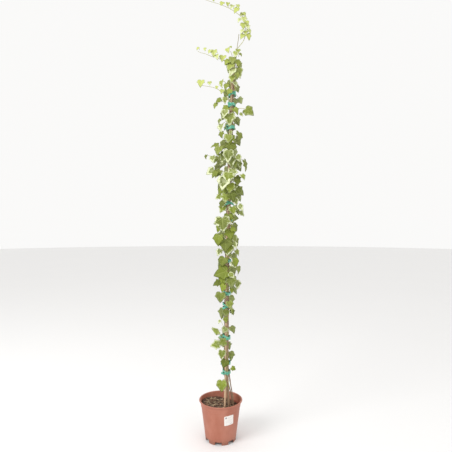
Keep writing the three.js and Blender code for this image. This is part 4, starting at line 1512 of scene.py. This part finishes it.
@dataclass(frozen=True)
class IvyLeaf:
    """Draws one five-lobed leaf with its petiole.

    The outline is the right half of a deeply lobed leaf, as (across, along, 1 at a lobe's tip), and
    plain is that of a leaf without lobes. Each leaf lies between the two.
    """

    place: LeafPlace
    tone: tuple[float, float, float]
    rng: random.Random
    shares: tuple[float, ...] = (0.3, 0.58, 0.82)
    heart: tuple[float, float] = (0.0, 0.13)
    thickness: float = 0.4 * MM
    outline: tuple[tuple[float, float, float], ...] = (
        (0.0, -0.005, 0.0), (0.06, -0.085, 0.0), (0.16, -0.150, 0.0), (0.29, -0.150, 1.0),
        (0.385, -0.095, 0.0), (0.425, -0.01, 0.0), (0.405, 0.09, 0.0), (0.40, 0.155, 0.0),
        (0.475, 0.235, 0.0), (0.545, 0.325, 1.0), (0.45, 0.365, 0.0), (0.345, 0.405, 0.0),
        (0.285, 0.455, 0.0), (0.255, 0.545, 0.0), (0.165, 0.675, 0.0), (0.07, 0.785, 0.0),
        (0.0, 0.86, 1.0),
    )
    plain: tuple[tuple[float, float], ...] = (
        (0.0, 0.0), (0.055, -0.070), (0.15, -0.115), (0.26, -0.110), (0.36, -0.060), (0.43, 0.01),
        (0.46, 0.08), (0.475, 0.15), (0.475, 0.225), (0.455, 0.30), (0.42, 0.37), (0.37, 0.44),
        (0.31, 0.51), (0.24, 0.60), (0.155, 0.70), (0.07, 0.79), (0.0, 0.85),
    )

    def draw(self, sketch: Sketch) -> None:
        """Adds the blade and the petiole.

        Args:
            sketch: the drawing.
        """
        rng = self.rng
        blunt, slim = (1.2 - rng.uniform(0.2, 1.2)) * 0.75, rng.uniform(0.80, 1.04)
        fold, curl = rng.uniform(0.02, 0.42), rng.uniform(0.0, 0.7)
        bend = Bend(fold, curl, rng.uniform(-0.4, 0.4), rng.uniform(0, 6))
        own = rng.random()
        rim = self._rim(blunt, slim)
        edge = self._row(sketch, rim, bend, 1.0, 0.0)
        for side, off in ((0.0, self.thickness / 2), (0.5, -self.thickness / 2)):
            hub = self._row(sketch, [(*self.heart, 1.0)], bend, 0.0, off)[0]
            rows = [self._row(sketch, rim, bend, share, off) for share in self.shares] + [edge]
            way = 1 if side == 0 else -1
            held = {"leaf_tone": self.tone, "leaf_part": (side, own, 0)}
            for i in range(len(rim)):
                j = (i + 1) % len(rim)
                sketch.face((hub, rows[0][i], rows[0][j])[::way], **held)
                for inner, outer in zip(rows, rows[1:]):
                    sketch.face((inner[i], outer[i], outer[j], inner[j])[::way], **held)
        self._petiole(sketch, own)

    def _rim(self, blunt: float, slim: float) -> list[tuple[float, float, float]]:
        """Blends the two outlines.

        Args:
            blunt: 0 for deep lobes, 1 for none.
            slim: how wide the blade is for its length.

        Returns:
            The whole rim as (across, along, 1 at a lobe's tip), counter-clockwise.
        """
        half = []
        for (u, v, tip), (x, y) in zip(self.outline, self.plain):
            half.append(((u + (x - u) * blunt) * slim, v + (y - v) * blunt, tip))
        return half + [(-u, v, tip) for u, v, tip in reversed(half[1:-1])]

    def _row(
        self,
        sketch: Sketch,
        rim: Sequence[tuple[float, float, float]],
        bend: Bend,
        share: float,
        off: float,
    ) -> list[int]:
        """Adds a row of the blade's points.

        Args:
            sketch: the drawing.
            rim: the blade's rim.
            bend: how the blade bends.
            share: how far out to the rim the row is.
            off: how far it stands off the blade's middle surface.

        Returns:
            The points' numbers.
        """
        place = self.place
        across = place.apex.cross(place.face)
        hx, hy = self.heart
        made = []
        for u, v, tip in rim:
            x, y = hx + (u - hx) * share, hy + (v - hy) * share
            spot = across * x + place.apex * y + place.face * bend.lift(x, y, share, tip)
            where = place.base + spot * place.width + place.face * off
            made.append(sketch.point(where, leaf_place=(x, y, share)))
        return made

    def _petiole(self, sketch: Sketch, own: float) -> None:
        """Adds the petiole, which widens at its root and runs into the midrib.

        Args:
            sketch: the drawing.
            own: the leaf's own random share.
        """
        place = self.place
        course = place.course[::-1]
        if len(course) < 2:
            course.insert(0, place.base - (place.apex + place.face) * place.width * 0.2)
        start = course[0] + (course[0] - course[1]).normalized() * 1.2 * MM
        line = along([start, *course, place.base + place.apex * place.width * 0.03], 3 * MM)
        thin = 0.45 * MM + place.width * 0.008

        def radius(share: float, _angle: float) -> float:
            """Returns the petiole's radius at a share of its length."""
            return thin * (1 + 0.7 * (1 - share) ** 6)

        tube(sketch, line, 6, radius, face={"leaf_tone": self.tone, "leaf_part": (1.0, own, 0)})


@dataclass(frozen=True)
class Shoot:
    """A leafy shoot: a twig, its petioles and its leaves, as one piece.

    A free shoot's twig follows its route, in millimetres. Any other grows out of the nearest stem.
    """

    node: str
    growth: Growth
    route: tuple[tuple[float, float, float], ...] = ()
    fresh_from: float = 1.05
    fresh_over: float = 0.6
    middle: float = 0.85
    middle_spread: float = 0.28

    def tone(self, height: float, rng: random.Random) -> tuple[float, float, float]:
        """Chooses a leaf's tone.

        Args:
            height: how high the leaf is.
            rng: the shoot's random numbers.

        Returns:
            How young, how variegated and how light the leaf is, each from 0 to 1.
        """
        rise = min(1.0, max(0.0, (height - self.fresh_from) / self.fresh_over))
        mid = math.exp(-(((height - self.middle) / self.middle_spread) ** 2))
        young = 0.92 if self.growth is Growth.YOUNG else 0.04 + 0.4 * rise + 0.1 * mid
        cream = rng.choice((0.0, 0.1, 0.45, 1.0, 1.0 if height > 0.7 else 0.2)) * (0.8 + 0.2 * mid)
        light = min(1.0, rng.random() ** 1.2 * 1.1 + 0.2 * rise)
        return min(1.0, young * rng.uniform(0.7, 1.15)), cream, light

    def build(self, material: bpy.types.Material, stems: Sequence[Stem]) -> tuple[bpy.types.Object, int]:
        """Draws the shoot.

        Args:
            material: the leaf material.
            stems: the woody stems, one of which the shoot grows from.

        Returns:
            The piece, and how many leaves it has.
        """
        rng = random.Random(self.node)
        reader = LeafReader(self.node)
        leaves = reader.leaves()
        sketch = Sketch()
        for place in leaves:
            IvyLeaf(place, self.tone(place.base.z, rng), rng).draw(sketch)
        if self.route:
            line, thick = along([Vector(p) * MM for p in self.route], 5 * MM), taper(1.15, 0.55)
        else:
            low, high = reader.twig()
            stem = min((s.near(low) for s in stems), key=lambda p: (p - low).length)
            line = along([stem - UP * 4 * MM, low, (low + high) / 2, high], 4 * MM)
            thick = taper(1.45, 0.6)
        tube(sketch, line, 7, thick, face={"leaf_tone": (0.1, 0, 0.3), "leaf_part": (1.0, 0.1, 0)})
        return sketch.make(f"{self.node}_leaves", material), len(leaves)


# ------------------------------------------------------------------ studio


@dataclass(frozen=True)
class Studio:
    """The pale floor, the soft light and the camera."""

    lens: float = 33.13
    sensor: float = 36.0
    eye: tuple[float, float, float] = (0.021, -1.660, 0.8455)
    floor_tone: Colour = (0.86, 0.855, 0.85)
    floor_rings: tuple[float, ...] = (0.4, 1.0, 2.5, 6.0, 16.0)
    floor_sides: int = 64
    surround: Colour = (1.0, 0.995, 0.985)
    surround_strength: float = 0.96
    lamps: tuple[tuple[str, tuple[float, float, float], float, float], ...] = (
        ("window_light", (-2.2, -1.9, 2.3), 1.8, 62.0),
        ("fill_light", (1.8, -2.4, 1.2), 2.2, 12.0),
    )
    aim: tuple[float, float, float] = (0, 0, 0.75)

    def floor(self) -> None:
        """Lays the floor."""
        sketch = Sketch()
        rings = [sketch.circle(radius, 0, self.floor_sides) for radius in self.floor_rings]
        for low, high in zip(rings, rings[1:]):
            for i in range(self.floor_sides):
                j = (i + 1) % self.floor_sides
                sketch.face((low[i], high[i], high[j], low[j]))
        sketch.face(rings[0])
        s = Shader("studio_floor")
        cloud = s.grain(s.place(), 1.2, 2.0)
        base = s.mix(cloud, self.floor_tone, tuple(c * 0.985 for c in self.floor_tone))
        sketch.make("studio_floor", s.finish(base, 0.8))

    def light(self) -> None:
        """Sets a bright even surround, a large soft light from the front left, and a weak one."""
        world = bpy.data.worlds.new("studio_surround")
        bpy.context.scene.world = world
        world.use_nodes = True
        inputs = world.node_tree.nodes["Background"].inputs
        inputs["Color"].default_value = (*self.surround, 1)
        inputs["Strength"].default_value = self.surround_strength
        for name, place, size, power in self.lamps:
            data = bpy.data.lights.new(name, "AREA")
            data.shape, data.size, data.energy = "DISK", size, power
            lamp = bpy.data.objects.new(name, data)
            lamp.location = place
            lamp.rotation_mode = "QUATERNION"
            lamp.rotation_quaternion = (Vector(self.aim) - lamp.location).to_track_quat("-Z", "Y")
            bpy.context.scene.collection.objects.link(lamp)
        bpy.context.scene.view_settings.view_transform = "Standard"

    def camera(self) -> None:
        """Stands the camera level in front of the plant."""
        data = bpy.data.cameras.new("studio_camera")
        data.lens, data.sensor_width = self.lens, self.sensor
        data.clip_start, data.clip_end = 0.05, 60.0
        camera = bpy.data.objects.new("studio_camera", data)
        camera.location = self.eye
        camera.rotation_euler = (math.radians(90), 0, 0)
        bpy.context.scene.collection.objects.link(camera)
        bpy.context.scene.camera = camera


# ------------------------------------------------------------------ the whole plant

# The twigs of the free shoots, from the stem to the tip, in millimetres.
FREE_ROUTES: dict[str, tuple[tuple[float, float, float], ...]] = {
    "leader_shoot": (
        (60, -7, 1543), (76, -8, 1562), (91, -8, 1582), (99, -10, 1612), (95, -10, 1643),
        (82, -10, 1674), (61, -11, 1691), (36, -12, 1707), (7, -13, 1719), (-14, -14, 1726),
        (-42, -15, 1734), (-64, -16, 1741),
    ),
    "side_shoot_upper": (
        (30, -1, 1490), (14, -10, 1500), (-8, -18, 1507), (-37, -22, 1514), (-61, -24, 1523),
        (-80, -25, 1527), (-90, -26, 1533),
    ),
    "side_shoot_lower": (
        (32, -24, 1356), (18, -32, 1362), (2, -38, 1368), (-9, -40, 1377), (-31, -42, 1385),
        (-56, -43, 1389), (-74, -44, 1392),
    ),
    "top_shoot": ((46, 22, 1523), (45, 16, 1534), (41, 10, 1543), (36, 6, 1547)),
}


def main() -> None:
    """Builds the plant piece by piece, then the studio."""
    logging.basicConfig(level=logging.INFO, format="%(name)s: %(message)s")
    pot = Pot()
    add(pot.build(), "pot_plastic", "nursery_pot")
    add(Soil().build(), "soil", "potting_soil")
    add(Label(pot).build(), "label", "pot_label")
    canes = (
        Cane("bamboo_cane_left", BambooFinish("pale_bamboo", (0.74, 0.55, 0.36), (0.45, 0.29, 0.17))),
        Cane("bamboo_cane_right", BambooFinish("brown_bamboo", (0.52, 0.33, 0.20), (0.25, 0.145, 0.08))),
    )
    for cane in canes:
        add(cane.build(), "bamboo", cane.node)
    bark = BarkFinish("ivy_bark").make()
    stems = [Stem(f"vine_stem_{side}", 5 + i) for i, side in enumerate(("right", "left", "front", "back"))]
    for stem in stems:
        add(stem.build(bark), "stem_bark", stem.node)
    tape = TapeFinish().make()
    for number in range(1, 1 + sum(name.startswith("tape_tie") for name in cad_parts)):
        tie = Tie(number, canes)
        add(tie.build(tape), "tape", tie.node)
    materials = {
        Growth.GROWN: LeafFinish("ivy_leaf").make(),
        Growth.YOUNG: LeafFinish("young_ivy_leaf", light=(0.40, 0.47, 0.11)).make(),
    }
    shoots = [Shoot(name, Growth.YOUNG, route) for name, route in FREE_ROUTES.items()]
    grown = sorted(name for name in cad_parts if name.startswith("leafy_shoot"))
    shoots += [Shoot(name, Growth.GROWN) for name in grown]
    total = 0
    for shoot in shoots:
        piece, count = shoot.build(materials[shoot.growth], stems)
        total += count
        add(piece, "young_shoot" if shoot.growth is Growth.YOUNG else "ivy_foliage", shoot.node)
    log.info("leaves: %d", total)
    studio = Studio()
    studio.floor()
    studio.light()
    studio.camera()


if __name__ == "__main__":
    main()
